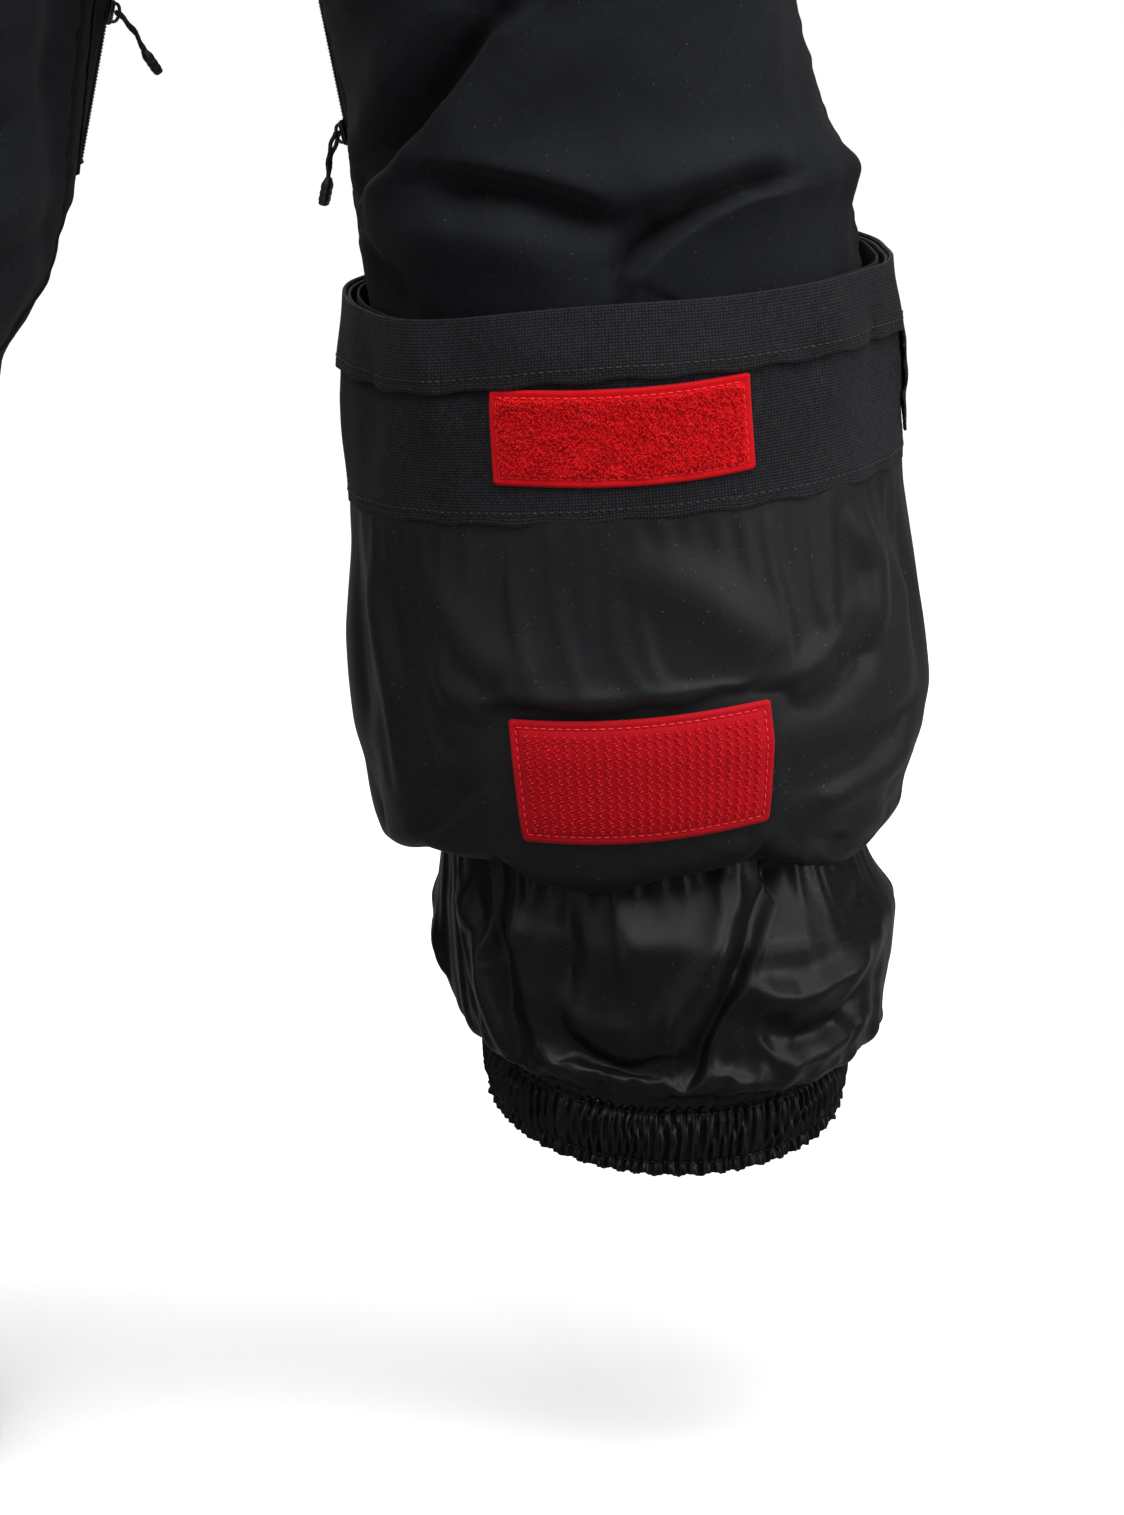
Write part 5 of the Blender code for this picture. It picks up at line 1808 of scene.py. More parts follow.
class Gaiter:
    """A boot gaiter: its satin skirt, ruched casing, elastic, webbing tab and lace hook."""

    casing_low = 0.1485
    casing_high = 0.1765
    top = 0.300

    def __init__(self, side: int, stitching: Stitching) -> None:
        """Keeps the side and the mesh for the casing's stitches."""
        self.side, self.tube, self.stitching = side, GAITERS[side], stitching
        self.name = SIDE_NAMES[side]
        self.body = f"{self.name}_gaiter_end"

    folds = (
        # The dart: the left side folds over the right one.
        Fold(
            (
                (235, 0.258), (243, 0.249), (250, 0.238), (257, 0.2194),
                (264, 0.203), (267, 0.184),
            ),
            -0.0085, 0.0045, 0.45, 0.15,
        ),
        Fold(
            (
                (244, 0.259), (254, 0.243), (262, 0.2235), (270, 0.204),
                (272, 0.186),
            ),
            0.0070, 0.0085, 0.0, 0.2,
        ),
        Fold(((258, 0.2194), (240, 0.2140), (225, 0.2185), (208, 0.2245)), 0.0068, 0.0060, 0.2, 0.25),
        Fold(((255, 0.2085), (238, 0.2035), (222, 0.2060), (206, 0.2110)), -0.0062, 0.0048, 0.0, 0.3),
        Fold(((246, 0.1920), (232, 0.1955), (217, 0.1970), (199, 0.1984)), 0.0052, 0.0050, 0.2, 0.3),
        Fold(((228, 0.2330), (212, 0.2360), (198, 0.2420)), -0.0040, 0.0060, 0.0, 0.4),
        Fold(((303, 0.2010), (293, 0.1958), (283, 0.1925), (276, 0.1945)), -0.0060, 0.0036, 0.3, 0.3),
        Fold(((304, 0.2090), (292, 0.2040), (281, 0.2030), (274, 0.2060)), 0.0034, 0.0050, 0.0, 0.3),
        Fold(((341, 0.2530), (326, 0.2300), (320, 0.1995), (317, 0.1790)), 0.0058, 0.0062, 0.2, 0.25),
        Fold(((334, 0.2450), (316, 0.2220), (313, 0.1960)), -0.0050, 0.0055, 0.0, 0.3),
        Fold(((313, 0.2540), (313, 0.2290), (311.5, 0.2058), (303, 0.1839)), 0.0046, 0.0055, -0.2, 0.3),
        Fold(((300, 0.2480), (298, 0.2280), (300, 0.2120)), -0.0036, 0.0060, 0.0, 0.35),
        Fold(((285, 0.2520), (281, 0.2320), (284, 0.2140)), 0.0030, 0.0080, 0.0, 0.35),
        Fold(((150, 0.2450), (135, 0.2200), (128, 0.1900)), 0.0056, 0.0065, 0.2, 0.3),
        Fold(((172, 0.2330), (160, 0.2080), (158, 0.1860)), 0.0046, 0.0058, 0.0, 0.3),
        Fold(((110, 0.2500), (96, 0.2250), (90, 0.1950)), -0.0050, 0.0062, 0.0, 0.3),
        Fold(((95, 0.2450), (80, 0.2150), (76, 0.1880)), 0.0058, 0.0068, 0.0, 0.3),
        Fold(((60, 0.2480), (48, 0.2200), (40, 0.1900)), 0.0052, 0.0062, 0.2, 0.3),
        Fold(((30, 0.2350), (20, 0.2120), (18, 0.1860)), -0.0048, 0.0056, 0.0, 0.3),
        Fold(((10, 0.2420), (0, 0.2150), (-6, 0.1880)), 0.0050, 0.0062, 0.0, 0.3),
    )

    def pleat_phase(self, angle: Array) -> Array:
        """Returns the phase of the elastic's gathers, about 105 uneven ones round the leg."""
        turn = np.radians(angle)
        phase = 105 * turn + 2.4 * np.sin(5 * turn + 0.4)
        return phase + 1.5 * np.sin(11 * turn + 1.9) + 0.9 * np.sin(23 * turn)

    def pleats(self, angle: Array, sharp: float = 0.6) -> Array:
        """Returns the gathers' profile, from -1 to 1, with sharp valleys."""
        wave = np.sin(self.pleat_phase(angle))
        return np.sign(wave) * np.abs(wave) ** sharp * (0.75 + 0.25 * np.sin(np.radians(angle) * 31))

    def skirt(self) -> None:
        """Makes the skirt: held at its sewn top and by the elastic, bellied and creased between."""
        columns, rows = 312, 78
        angles = np.arange(columns) * 360.0 / columns
        heights = np.linspace(self.casing_high - 0.0005, self.top, rows)
        level = np.broadcast_to(heights[:, None], (rows, columns))
        around = np.broadcast_to(angles[None, :], level.shape)
        relief = Ripples(50 + self.side, 0.0006, (3, 9), (14, 50)).relief(around, level)
        place = around if self.side == RIGHT else (around * 1.0 + 37.0)
        for fold in self.folds:
            relief += fold.relief(place, level, 0.088)
        # The gathers run up out of the casing and merge into wider pleats.
        above = level - self.casing_high
        fine = self.pleats(around) * 0.0008 * np.exp(-above / 0.0045)
        wide = 0.0021 * np.sin(29 * np.radians(around) + 1.6 * np.sin(4 * np.radians(around)) + above * 55)
        wide += 0.0014 * np.sin(43 * np.radians(around) + 1.1 * np.sin(7 * np.radians(around)) - above * 80)
        relief += wide * np.exp(-above / 0.017) * smooth(above / 0.004 + 0.2)
        hold_top = smooth((0.292 - level) / 0.02)
        hold_low = smooth(above / 0.010 + 0.08)
        surface = surface_of(self.tube, level, around, True, relief * hold_top * hold_low + fine)
        surface.uv = np.stack([np.radians(around) * 0.09, level], -1)
        if self.side == RIGHT:
            hold = np.zeros((rows, columns))
            hold[:3] = 1
            hold[int(rows * 0.70):] = 1
            before = surface.points
            settled = settle("skirt", surface, RIGHT, hold, 24, 0.032, 0.45, 0.8)
            surface.points = smoothed(kept_near(before, settled.points, 0.0060), True, 1)
        surface = finer(surface, 2)
        mesh = sheet_mesh(f"{self.name}_gaiter_skirt_cloth", surface, self.side, 0.0007)
        made = put(f"{self.name}_gaiter_skirt_cloth", mesh, GAITER, None)
        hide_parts(f"{self.name}_gaiter_skirt")
        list(self.bunching())
        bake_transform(made)

    def bunching(self) -> tuple[list[float], list[float]]:
        """Returns the points between which the skirt bunches up when the elastic end rises."""
        ring = self.tube.point(self.casing_high, np.array([0.0, 90.0, 180.0, 270.0]))
        end = ring.mean(axis=0)
        slope = np.cross(ring[2] - ring[0], ring[3] - ring[1])
        slope *= np.sign(slope[2]) / np.linalg.norm(slope)
        # The line stands square to the sloping hem, so the whole hem follows the elastic end.
        top = self.tube.point(self.top, np.array([0.0, 90.0, 180.0, 270.0]))
        start = end + slope * float(((top - end) @ slope).min())
        return start.tolist(), end.tolist()

    def casing(self) -> None:
        """Makes the ruched casing with the frill below its lower stitches."""
        columns = 1260
        angles = np.arange(columns) * 360.0 / columns
        profile = lip_profile(self.casing_low, self.casing_high, 0.0, 0.0012, 0.0011)
        levels = np.broadcast_to(profile[:, :1], (len(profile), columns))
        around = np.broadcast_to(angles[None, :], levels.shape)
        share = (levels - self.casing_low) / (self.casing_high - self.casing_low)
        slant = 2.2 * np.sin(np.radians(around) * 9) * (share - 0.5)
        slant += np.sin(share * 9 + np.radians(around) * 6)
        pleat = self.pleats(around + slant * 0.8)
        low_seam, high_seam = 0.0052, self.casing_high - self.casing_low - 0.0030
        up = levels - self.casing_low
        seam = bell((up - low_seam) / 0.0012) + bell((up - high_seam) / 0.0012)
        belly = 0.0016 * np.sin(np.pi * np.clip((up - low_seam) / (high_seam - low_seam), 0, 1))
        frill = smooth((low_seam - up) / low_seam)
        relief = pleat * (0.0013 - 0.0004 * frill) * (1 - 0.35 * seam) - 0.0011 * seam + belly
        relief += 0.0008 * frill * np.sin(self.pleat_phase(around) * 0.5 + 1.0)
        relief += 0.0006 * np.sin(self.pleat_phase(around) * 1.9 + 3 * share)
        surface = ring_of(self.tube, profile, angles, relief)
        drop = frill * (0.0006 * np.sin(self.pleat_phase(angles) * 0.5)[None, :] + 0.0003 * pleat)
        surface.points[..., 2] += drop
        name = f"{self.name}_gaiter_casing_cloth"
        made = put(name, loop_mesh(name, surface, self.side), GAITER, self.body)
        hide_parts(f"{self.name}_gaiter_casing")
        for inset in (low_seam, high_seam):
            row = int(np.argmin(np.abs(profile[: len(profile) // 2, 0] - self.casing_low - inset)))
            line = surface.points[row]
            normals = surface.normals(self.side)[row]
            eased = line.copy()
            for _ in range(6):
                eased = (np.roll(eased, 1, 0) + eased + np.roll(eased, -1, 0)) / 3
            self.stitching.add(
                np.concatenate([eased, eased[:1]]) + 0.0002 * np.concatenate([normals, normals[:1]]),
                np.concatenate([normals, normals[:1]]),
                StitchLine(0.0021, 0.0009, 0.0005),
            )

    def elastic(self) -> None:
        """Makes the ribbed elastic inside the casing."""
        columns = 840
        angles = np.arange(columns) * 360.0 / columns
        profile = lip_profile(self.casing_low + 0.003, self.casing_high - 0.003, -0.0020, 0.0011, 0.0014)
        levels = np.broadcast_to(profile[:, :1], (len(profile), columns))
        ribs = 0.00028 * np.sin((levels - self.casing_low) * 2 * np.pi / 0.0022)
        cords = 0.00012 * np.sin(np.radians(angles) * 210)[None, :]
        surface = ring_of(self.tube, profile, angles, ribs + cords)
        name = f"{self.name}_gaiter_elastic_band"
        made = put(name, loop_mesh(name, surface, self.side), ELASTIC, self.body)
        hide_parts(f"{self.name}_gaiter_elastic")

    def tab(self) -> None:
        """Makes the folded webbing tab at the front, with its bar tacks."""
        low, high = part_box(f"{self.name}_gaiter_tab")
        middle_x = (low[0] + high[0]) / 2
        rows, columns = 46, 34
        half_width = (high[0] - low[0]) / 2
        x = np.linspace(-1, 1, columns)
        z = np.linspace(low[2], high[2], rows)
        crown = 0.00022 * np.cos(x * 4.5 * np.pi)[None, :] * np.ones((rows, 1))
        inner = 0.4 + 0.6 * (np.abs(x) < 0.93)
        wave = 0.0003 * np.sin((z - z[0]) * 2 * np.pi / 0.0011)[:, None] * inner[None, :]
        bend = 0.0012 * bell((z - high[2] + 0.004) / 0.004)[:, None]
        points = np.stack(
            np.broadcast_arrays(
                middle_x + half_width * x[None, :] * (1 + 0.01 * np.sin(z * 900)[:, None]),
                low[1] - 0.0001 + 0.2 * wave - crown + bend * 0.2,
                z[:, None],
            ),
            -1,
        )
        uv = np.stack(np.broadcast_arrays(x[None, :] * half_width, z[:, None]), -1)
        surface = Surface(points, False, uv)
        name = f"{self.name}_gaiter_tab_webbing"
        mesh = sheet_mesh(name, surface, 1, (high[1] - low[1]) * 0.9)
        made = put(name, mesh, RIBBON, self.body)
        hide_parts(f"{self.name}_gaiter_tab")
        along = np.linspace(-0.8, 0.8, 30) * half_width
        tacks = Stitching(f"{self.name}_gaiter_tab_tacks", THREAD, "zip_tape", self.body)
        for up in (0.0235, 0.0220, 0.0120, 0.0105):
            line = np.stack([middle_x + along, np.full(30, low[1] - 0.0004), np.full(30, low[2] + up)], -1)
            tacks.add(line, np.tile([0.0, -1.0, 0.0], (30, 1)), StitchLine(0.0014, 0.0004, 0.0006))
        tacks.build()

    def hook(self) -> None:
        """Makes the bent-wire lace hook that replaces the plain one."""
        low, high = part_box(f"{self.name}_gaiter_hook")
        body = f"{self.name}_gaiter_hook"
        middle_x = (low[0] + high[0]) / 2
        wire = 0.0010
        depth = (high[1] - low[1]) / 2 - wire
        turn = np.radians(np.linspace(180, 352, 22))
        bend = np.stack(
            [low[1] + wire + depth + depth * np.cos(turn), low[2] + wire + depth + depth * np.sin(turn)], -1
        )
        rise = np.stack([np.full(10, bend[0, 0]), np.linspace(high[2] - 0.004, bend[0, 1] + 0.0008, 10)], -1)
        profile = np.concatenate([rise, bend])
        sides = []
        for shift in (-0.0022, 0.0022):
            sides.append(np.column_stack([np.full(len(profile), middle_x + shift), profile]))
        tip = np.radians(np.linspace(0, 180, 9))[1:-1]
        end = profile[-1]
        joined = np.column_stack(
            [
                middle_x - 0.0022 * np.cos(tip),
                end[0] + 0.0006 * np.sin(tip),
                end[1] + 0.0018 * np.sin(tip),
            ]
        )
        line = np.concatenate([sides[0], joined, sides[1][::-1]])
        mesh = tube_mesh(f"{self.name}_gaiter_hook_wire", line, wire, 10)
        made = put(f"{self.name}_gaiter_hook_wire", mesh, METAL, body)
        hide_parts(f"{self.name}_gaiter_hook")

    def build(self) -> None:
        """Makes every piece of the gaiter."""
        self.elastic()
        self.casing()
        self.skirt()
        self.tab()
        self.hook()


def capped_mesh(name: str, rings: Array, ends: Array) -> bpy.types.Mesh:
    """Returns a mesh that joins rings of points, with a fan at each end round its own point."""
    rows, columns = rings.shape[:2]
    ring = np.arange(columns)
    following = (ring + 1) % columns
    last, middle = (rows - 1) * columns, rows * columns
    faces = grid_quads(rows, columns, True).tolist()
    faces += np.stack([following, ring, np.full(columns, middle)], -1).tolist()
    faces += np.stack([last + ring, last + following, np.full(columns, middle + 1)], -1).tolist()
    mesh = bpy.data.meshes.new(name)
    mesh.from_pydata(np.concatenate([rings.reshape(-1, 3), ends]).tolist(), [], faces)
    mesh.update()
    return mesh


def tube_mesh(name: str, line: Array, radius: float | Array, sides: int) -> bpy.types.Mesh:
    """Makes a round rod with domed ends along a line of points.

    Args:
        name: what the mesh is called.
        line: points along the middle.
        radius: half the thickness, one value or one for each point.
        sides: how many faces go round it.
    """
    radius = np.broadcast_to(radius, len(line)).astype(float)
    forward = np.gradient(line, axis=0)
    forward /= np.linalg.norm(forward, axis=1, keepdims=True)
    across = np.empty_like(forward)
    start = np.cross(forward[0], [0.3, 0.5, 0.8])
    across[0] = start / np.linalg.norm(start)
    for i in range(1, len(line)):
        carried = across[i - 1] - forward[i] * (across[i - 1] @ forward[i])
        across[i] = carried / np.linalg.norm(carried)
    up = np.cross(forward, across)
    turn = np.radians(np.arange(sides) * 360.0 / sides)
    first = line[:1] - forward[:1] * radius[0] * 0.5
    last = line[-1:] + forward[-1:] * radius[-1] * 0.5
    line = np.concatenate([first, line, last])
    radius = np.concatenate([[radius[0] * 0.5], radius, [radius[-1] * 0.5]])
    across = np.concatenate([across[:1], across, across[-1:]])
    up = np.concatenate([up[:1], up, up[-1:]])
    rings = (
        line[:, None]
        + across[:, None] * (radius[:, None] * np.cos(turn)[None, :])[..., None]
        + up[:, None] * (radius[:, None] * np.sin(turn)[None, :])[..., None]
    )
    mesh = capped_mesh(name, rings, line[[0, -1]])
    mesh.shade_smooth()
    return mesh


# ---------------------------------------------------------------- zips


@dataclass
class ZipLine:
    """A zip: woven tapes, a coil of nylon teeth, a slider and a cord pull.

    start and end are the coil's ends, facing the way its front looks and slider_at the place of the slider up
    its length in metres.
    """

    name: str
    start: Array
    end: Array
    facing: Array
    slider_at: float
    swing_axis: Array
    pivot: Array
    pull_length: float = 0.029
    reach: Array | None = None
    tape_half: float = 0.0115

    coil_half = 0.0023
    tooth_pitch = 0.00145

    def axes(self) -> tuple[Array, Array, Array, float]:
        """Returns across, out and along unit vectors and the zip's length."""
        along = self.end - self.start
        length = float(np.linalg.norm(along))
        along = along / length
        across = np.cross(along, self.facing)
        across /= np.linalg.norm(across)
        return across, np.cross(across, along), along, length

    def place(self, across: Array, out: Array, along: Array) -> Array:
        """Returns points from distances across, out from and along the zip."""
        a, o, l, _ = self.axes()
        across, out, along = np.broadcast_arrays(across, out, along)
        outward = o if float(o @ self.facing) > 0 else -o
        return self.start + across[..., None] * a + out[..., None] * outward + along[..., None] * l

    def coil(self) -> None:
        """Makes the two rows of coiled teeth that mesh in the middle."""
        length = self.axes()[3]
        count = int(length / self.tooth_pitch)
        t = np.linspace(0, 1, 8)
        pieces = []
        for side in (-1, 1):
            start = (np.arange(count) + (0.5 if side > 0 else 0.0)) * self.tooth_pitch + 0.0003
            turn = np.pi * (0.08 + 0.98 * t)
            across = side * (0.00035 + 0.00185 * (1 - np.sin(turn * 0.5) ** 1.5) - 0.0005 * t)
            out = 0.00045 + 0.0010 * np.sin(np.pi * np.clip(t * 1.02, 0, 1)) ** 0.7
            along = start[:, None] + (t[None, :] - 0.5) * self.tooth_pitch * 0.35
            across = np.broadcast_to(across[None, :], along.shape)
            pieces.append(self.place(across, np.broadcast_to(out[None, :], along.shape), along))
        teeth = fibre_mesh(f"{self.name}_zip_teeth", np.concatenate(pieces), 0.00042)
        made = put(f"{self.name}_zip_teeth", teeth, COIL)
        core = []
        for side in (-1, 1):
            along = np.linspace(0.0004, length - 0.0004, 60)
            line = self.place(np.full(60, side * 0.0017), np.full(60, 0.0005), along)
            core.append(tube_mesh(f"{self.name}_cord_{side}", line, 0.00055, 8))
        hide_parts(f"{self.name}_zip_coil")
        for side, mesh in zip(("inner", "outer"), core):
            put(f"{self.name}_zip_{side}_cord", mesh, THREAD)

    def stops(self) -> None:
        """Makes the small bent stops at both ends of the coil."""
        length = self.axes()[3]
        for end, at in (("lower", 0.0008), ("upper", length - 0.0008)):
            turn = np.linspace(0, np.pi, 12)
            line = self.place(0.0019 * np.cos(turn), 0.0004 + 0.0013 * np.sin(turn), np.full(12, at))
            stop = tube_mesh(f"{self.name}_{end}_stop", line, 0.0006, 8)
            put(f"{self.name}_zip_{end}_stop", stop, METAL)

    def pull(self) -> None:
        """Makes the cord loop through the slider's bridge and its moulded end."""
        body = f"{self.name}_pull"
        down = self.reach / np.linalg.norm(self.reach)
        side = self.swing_axis / np.linalg.norm(self.swing_axis)
        out = np.cross(side, down)
        out = out if float(out @ self.facing) > 0 else -out
        loop = self.pull_length - 0.0105
        strands = []
        t = np.linspace(0, 1, 26)
        spread = 0.0021 * (1 - smooth((t - 0.15) / 0.6)) + 0.00085
        bow = 0.0012 * np.sin(np.pi * t)
        for sign in (-1, 1):
            twist = 0.0003 * np.sin(t * 14 + sign)
            strands.append(
                self.pivot
                + down * (t * loop)[:, None]
                + side * (sign * spread)[:, None]
                + out * (bow + twist)[:, None]
            )
        turn = np.radians(np.linspace(180, 360, 13))[1:-1]
        bar = self.pivot + side * (spread[0] * np.cos(turn))[:, None]
        bar = bar + down * (0.0006 * np.sin(turn))[:, None]
        line = np.concatenate([strands[0][::-1], bar, strands[1]])
        grooves = 0.00092 * (1 + 0.06 * np.sin(np.arange(len(line)) * 2.4))
        mesh = tube_mesh(f"{self.name}_pull_cord", line, grooves, 10)
        cord = put(f"{self.name}_pull_cord", mesh, BRAID, body)
        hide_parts(f"{self.name}_zip_pull")
        self.grip(down, side, out, loop)

    def grip(self, down: Array, side: Array, out: Array, loop: float) -> None:
        """Makes the moulded end: a soft tapered block with grip ribs and a collar."""
        rows, columns = 40, 28
        v = np.linspace(0, 1, rows)
        turn = np.linspace(0, 2 * np.pi, columns, endpoint=False)
        length, half_wide, half_deep = 0.0125, 0.0032, 0.0021
        taper = (0.55 + 0.45 * smooth(v / 0.30)) * rounded(2 * np.clip(v - 0.5, 0, 0.5), 8)
        taper *= np.sqrt(np.clip(v / 0.04, 0.15, 1))
        rib = 1 - 0.09 * np.clip(np.sin(v * 2 * np.pi * 5.0), 0, 1) * ((v > 0.36) & (v < 0.90))
        cx = np.sign(np.cos(turn)) * np.abs(np.cos(turn)) ** 0.55
        cy = np.sign(np.sin(turn)) * np.abs(np.sin(turn)) ** 0.55
        points = (
            self.pivot
            + down * (loop - 0.0015 + v * length)[:, None, None]
            + side * (half_wide * (taper * rib)[:, None] * cx[None, :])[..., None]
            + out * (half_deep * (taper * rib)[:, None] * cy[None, :])[..., None]
        )
        mesh = capped_mesh(f"{self.name}_pull_grip", points, points[[0, -1]].mean(1))
        corner = points[5, 0]
        face = np.cross(points[5, 1] - corner, points[6, 0] - corner)
        if float(face @ (corner - points[5].mean(0))) < 0:
            mesh.flip_normals()
        mesh.shade_smooth()
        put(f"{self.name}_pull_grip", mesh, RUBBER, f"{self.name}_pull")

    def slider(self) -> None:
        """Makes the slider: a waisted body with flanges, a bridge and a thin bail ring."""
        body = f"{self.name}_slider"
        rows, columns = 24, 30
        v = np.linspace(-1, 1, rows)
        u = np.linspace(-1, 1, columns)
        half_long, half_wide = 0.0054, 0.0039
        waist = half_wide * (0.70 + 0.30 * smooth((v + 1) / 1.5))
        waist = waist * np.sqrt(np.clip(1 - np.abs(v) ** 9, 0.05, 1))
        crown = 0.00225 + 0.0011 * rounded(u[None, :], 6) * rounded(v[:, None], 8)
        crown = crown + 0.0003 * bell(u / 0.25)[None, :]
        across = waist[:, None] * u[None, :]
        along = self.slider_at + half_long * np.broadcast_to(v[:, None], across.shape)
        points = self.place(across, crown, along)
        surface = Surface(points, False, np.stack([across, along], -1))
        facing = surface.normals(1)[rows // 2, columns // 2] @ self.facing
        mesh = sheet_mesh(f"{self.name}_slider_body", surface, 1 if facing > 0 else -1, 0.0013)
        made = put(f"{self.name}_slider_body", mesh, METAL, body)
        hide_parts(f"{self.name}_zip_slider")
        t = np.linspace(0, np.pi, 22)
        rise = 0.0030 + 0.0030 * np.sin(t) ** 0.6
        line = self.place(np.zeros(22), rise, self.slider_at + 0.0038 * np.cos(t))
        bridge = tube_mesh(f"{self.name}_slider_bridge", line, 0.00075, 10)
        put(f"{self.name}_slider_bridge", bridge, METAL, body)
        lips = []
        for side in (-1, 1):
            v = np.linspace(-0.92, 0.92, 20)
            wide = half_wide * (0.72 + 0.30 * smooth((v + 1) / 1.5))
            lips.append(self.place(side * wide, np.full(20, 0.0013), self.slider_at + half_long * v))
        for side, line in zip(("inner", "outer"), lips):
            mesh = tube_mesh(f"{self.name}_slider_{side}_flange", line, 0.00065, 8)
            put(f"{self.name}_slider_{side}_flange", mesh, METAL, body)

    def tapes(self, spot: Callable[[Array, Array, Array], Array]) -> None:
        """Makes the two woven tapes beside the coil.

        Args:
            spot: gives a point from distances across, along and out.
        """
        length = self.axes()[3]
        for side, label in ((-1, "inner"), (1, "outer")):
            across = np.linspace(0.0004, self.tape_half, 16) * side
            along = np.linspace(-0.005, length + 0.005, 140)
            u, v = np.meshgrid(across, along)
            edge = bell((np.abs(u) - self.tape_half) / 0.0008)
            rib = 0.00012 * np.sin(np.abs(u) * 2 * np.pi / 0.0016) + 0.00018 * edge
            points = spot(u, v, rib)
            surface = Surface(points, False, np.stack([u, v], -1))
            facing = surface.normals(1)[70, 8] @ self.facing
            name = f"{self.name}_zip_{label}_tape"
            mesh = sheet_mesh(name, surface, 1 if facing > 0 else -1, 0.0006)
            made = put(name, mesh, RIBBON)
            if side < 0:
                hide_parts(f"{self.name}_zip_tape")

    def build(self, spot: Callable[[Array, Array, Array], Array]) -> None:
        """Makes every piece of the zip."""
        self.tapes(spot)
        self.coil()
        self.stops()
        self.slider()
        self.pull()


def zip_from_frame(frame: dict, name: str, start: Array, end: Array, facing: Array, length: float) -> ZipLine:
    """Returns a zip whose slider and pull stand where the frame's joints are.

    Args:
        frame: the loaded frame.
        name: the zip's name.
        start: the coil's lower end.
        end: the coil's upper end.
        facing: the way the zip's front looks.
        length: how long the pull is.
    """
    joints = {joint["name"]: joint for joint in frame["record"]["behaviour"]["joints"]}
    swing = joints[f"{name}_pull_swing"]
    pivot = np.array(swing["pos_m"], float)
    axis = np.array(swing["axis"], float)
    along = (end - start) / np.linalg.norm(end - start)
    low, high = (np.array(corner, float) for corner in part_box(f"{name}_zip_pull"))
    reach = (low + high) / 2 - pivot
    reach = reach - axis * float(reach @ axis)
    return ZipLine(
        name, start, end, facing, float((pivot - start) @ along), axis, pivot, length, reach
    )


class LegZip:
    """A straight zip laid on one leg between two heights at one angle."""

    label = ""
    low, high, angle, lift, pull_length = 0.0, 1.0, 0.0, 0.0, 0.03

    def __init__(self, frame: dict, leg: Leg) -> None:
        """Finds the zip's line on the leg."""
        tube = leg.tube
        start, end = tube.point(self.low, self.angle), tube.point(self.high, self.angle)
        middle = (self.low + self.high) / 2
        tangent = tube.point(middle, self.angle + 1) - tube.point(middle, self.angle - 1)
        facing = tube.side * np.cross(tangent, end - start)
        facing /= np.linalg.norm(facing)
        shift = facing * self.lift
        name = f"{leg.name}_{self.label}"
        self.zip = zip_from_frame(
            frame, name, start + shift, end + shift, facing, self.pull_length
        )
        self.leg = leg


class VentZip(LegZip):
    """The two-way vent zip on the inner thigh, on its narrow woven tapes."""

    label = "vent"
    low, high, angle, lift, pull_length = 0.530, 0.725, 18.0, 0.0024, 0.030

    def build(self) -> None:
        """Makes the zip, laid over the cloth of the leg."""
        tube = self.leg.tube
        length = self.zip.axes()[3]

        def spot(across: Array, along: Array, out: Array) -> Array:
            """Returns points of the tape: under the coil in the middle, on the cloth at the edge."""
            flat = self.zip.place(across, out - 0.0007, along)
            level = self.low + along / length * (self.high - self.low)
            turn = np.degrees(across / 0.095) * tube.side
            sewn = tube.point(level, self.angle + turn * self.turn(), 0.0012 + out)
            share = smooth((np.abs(across) - 0.003) / 0.007)[..., None]
            return flat * (1 - share) + sewn * share

        self.zip.build(spot)

    def turn(self) -> float:
        """Returns 1 or -1, whichever way the angle grows across the zip."""
        across = self.zip.axes()[0]
        step = self.leg.tube.point(0.63, self.angle + 1) - self.leg.tube.point(0.63, self.angle - 1)
        return float(np.sign(step @ across)) * self.leg.tube.side


class PocketZip(LegZip):
    """The hand pocket's zip at the hip."""

    label = "pocket"
    low, high, angle, lift, pull_length = 0.842, 0.968, 130.0, 0.0063, 0.026

    def build(self) -> None:
        """Makes the zip, its tapes sloping from the coil down to the cloth."""
        tube = self.leg.tube
        length = self.zip.axes()[3]
        across = self.zip.axes()[0]
        step = tube.point(0.9, self.angle + 1) - tube.point(0.9, self.angle - 1)
        way = float(np.sign(step @ across))

        def spot(u: Array, v: Array, out: Array) -> Array:
            """Returns points of the tape, which slopes from the coil down to the cloth."""
            flat = self.zip.place(u, out - 0.0007, v)
            level = self.low + v / length * (self.high - self.low)
            sewn = tube.point(level, self.angle + way * np.degrees(u / 0.125), 0.0014 + out)
            share = smooth((np.abs(u) - 0.0035) / 0.009)[..., None]
            return flat * (1 - share) + sewn * share

        self.zip.build(spot)


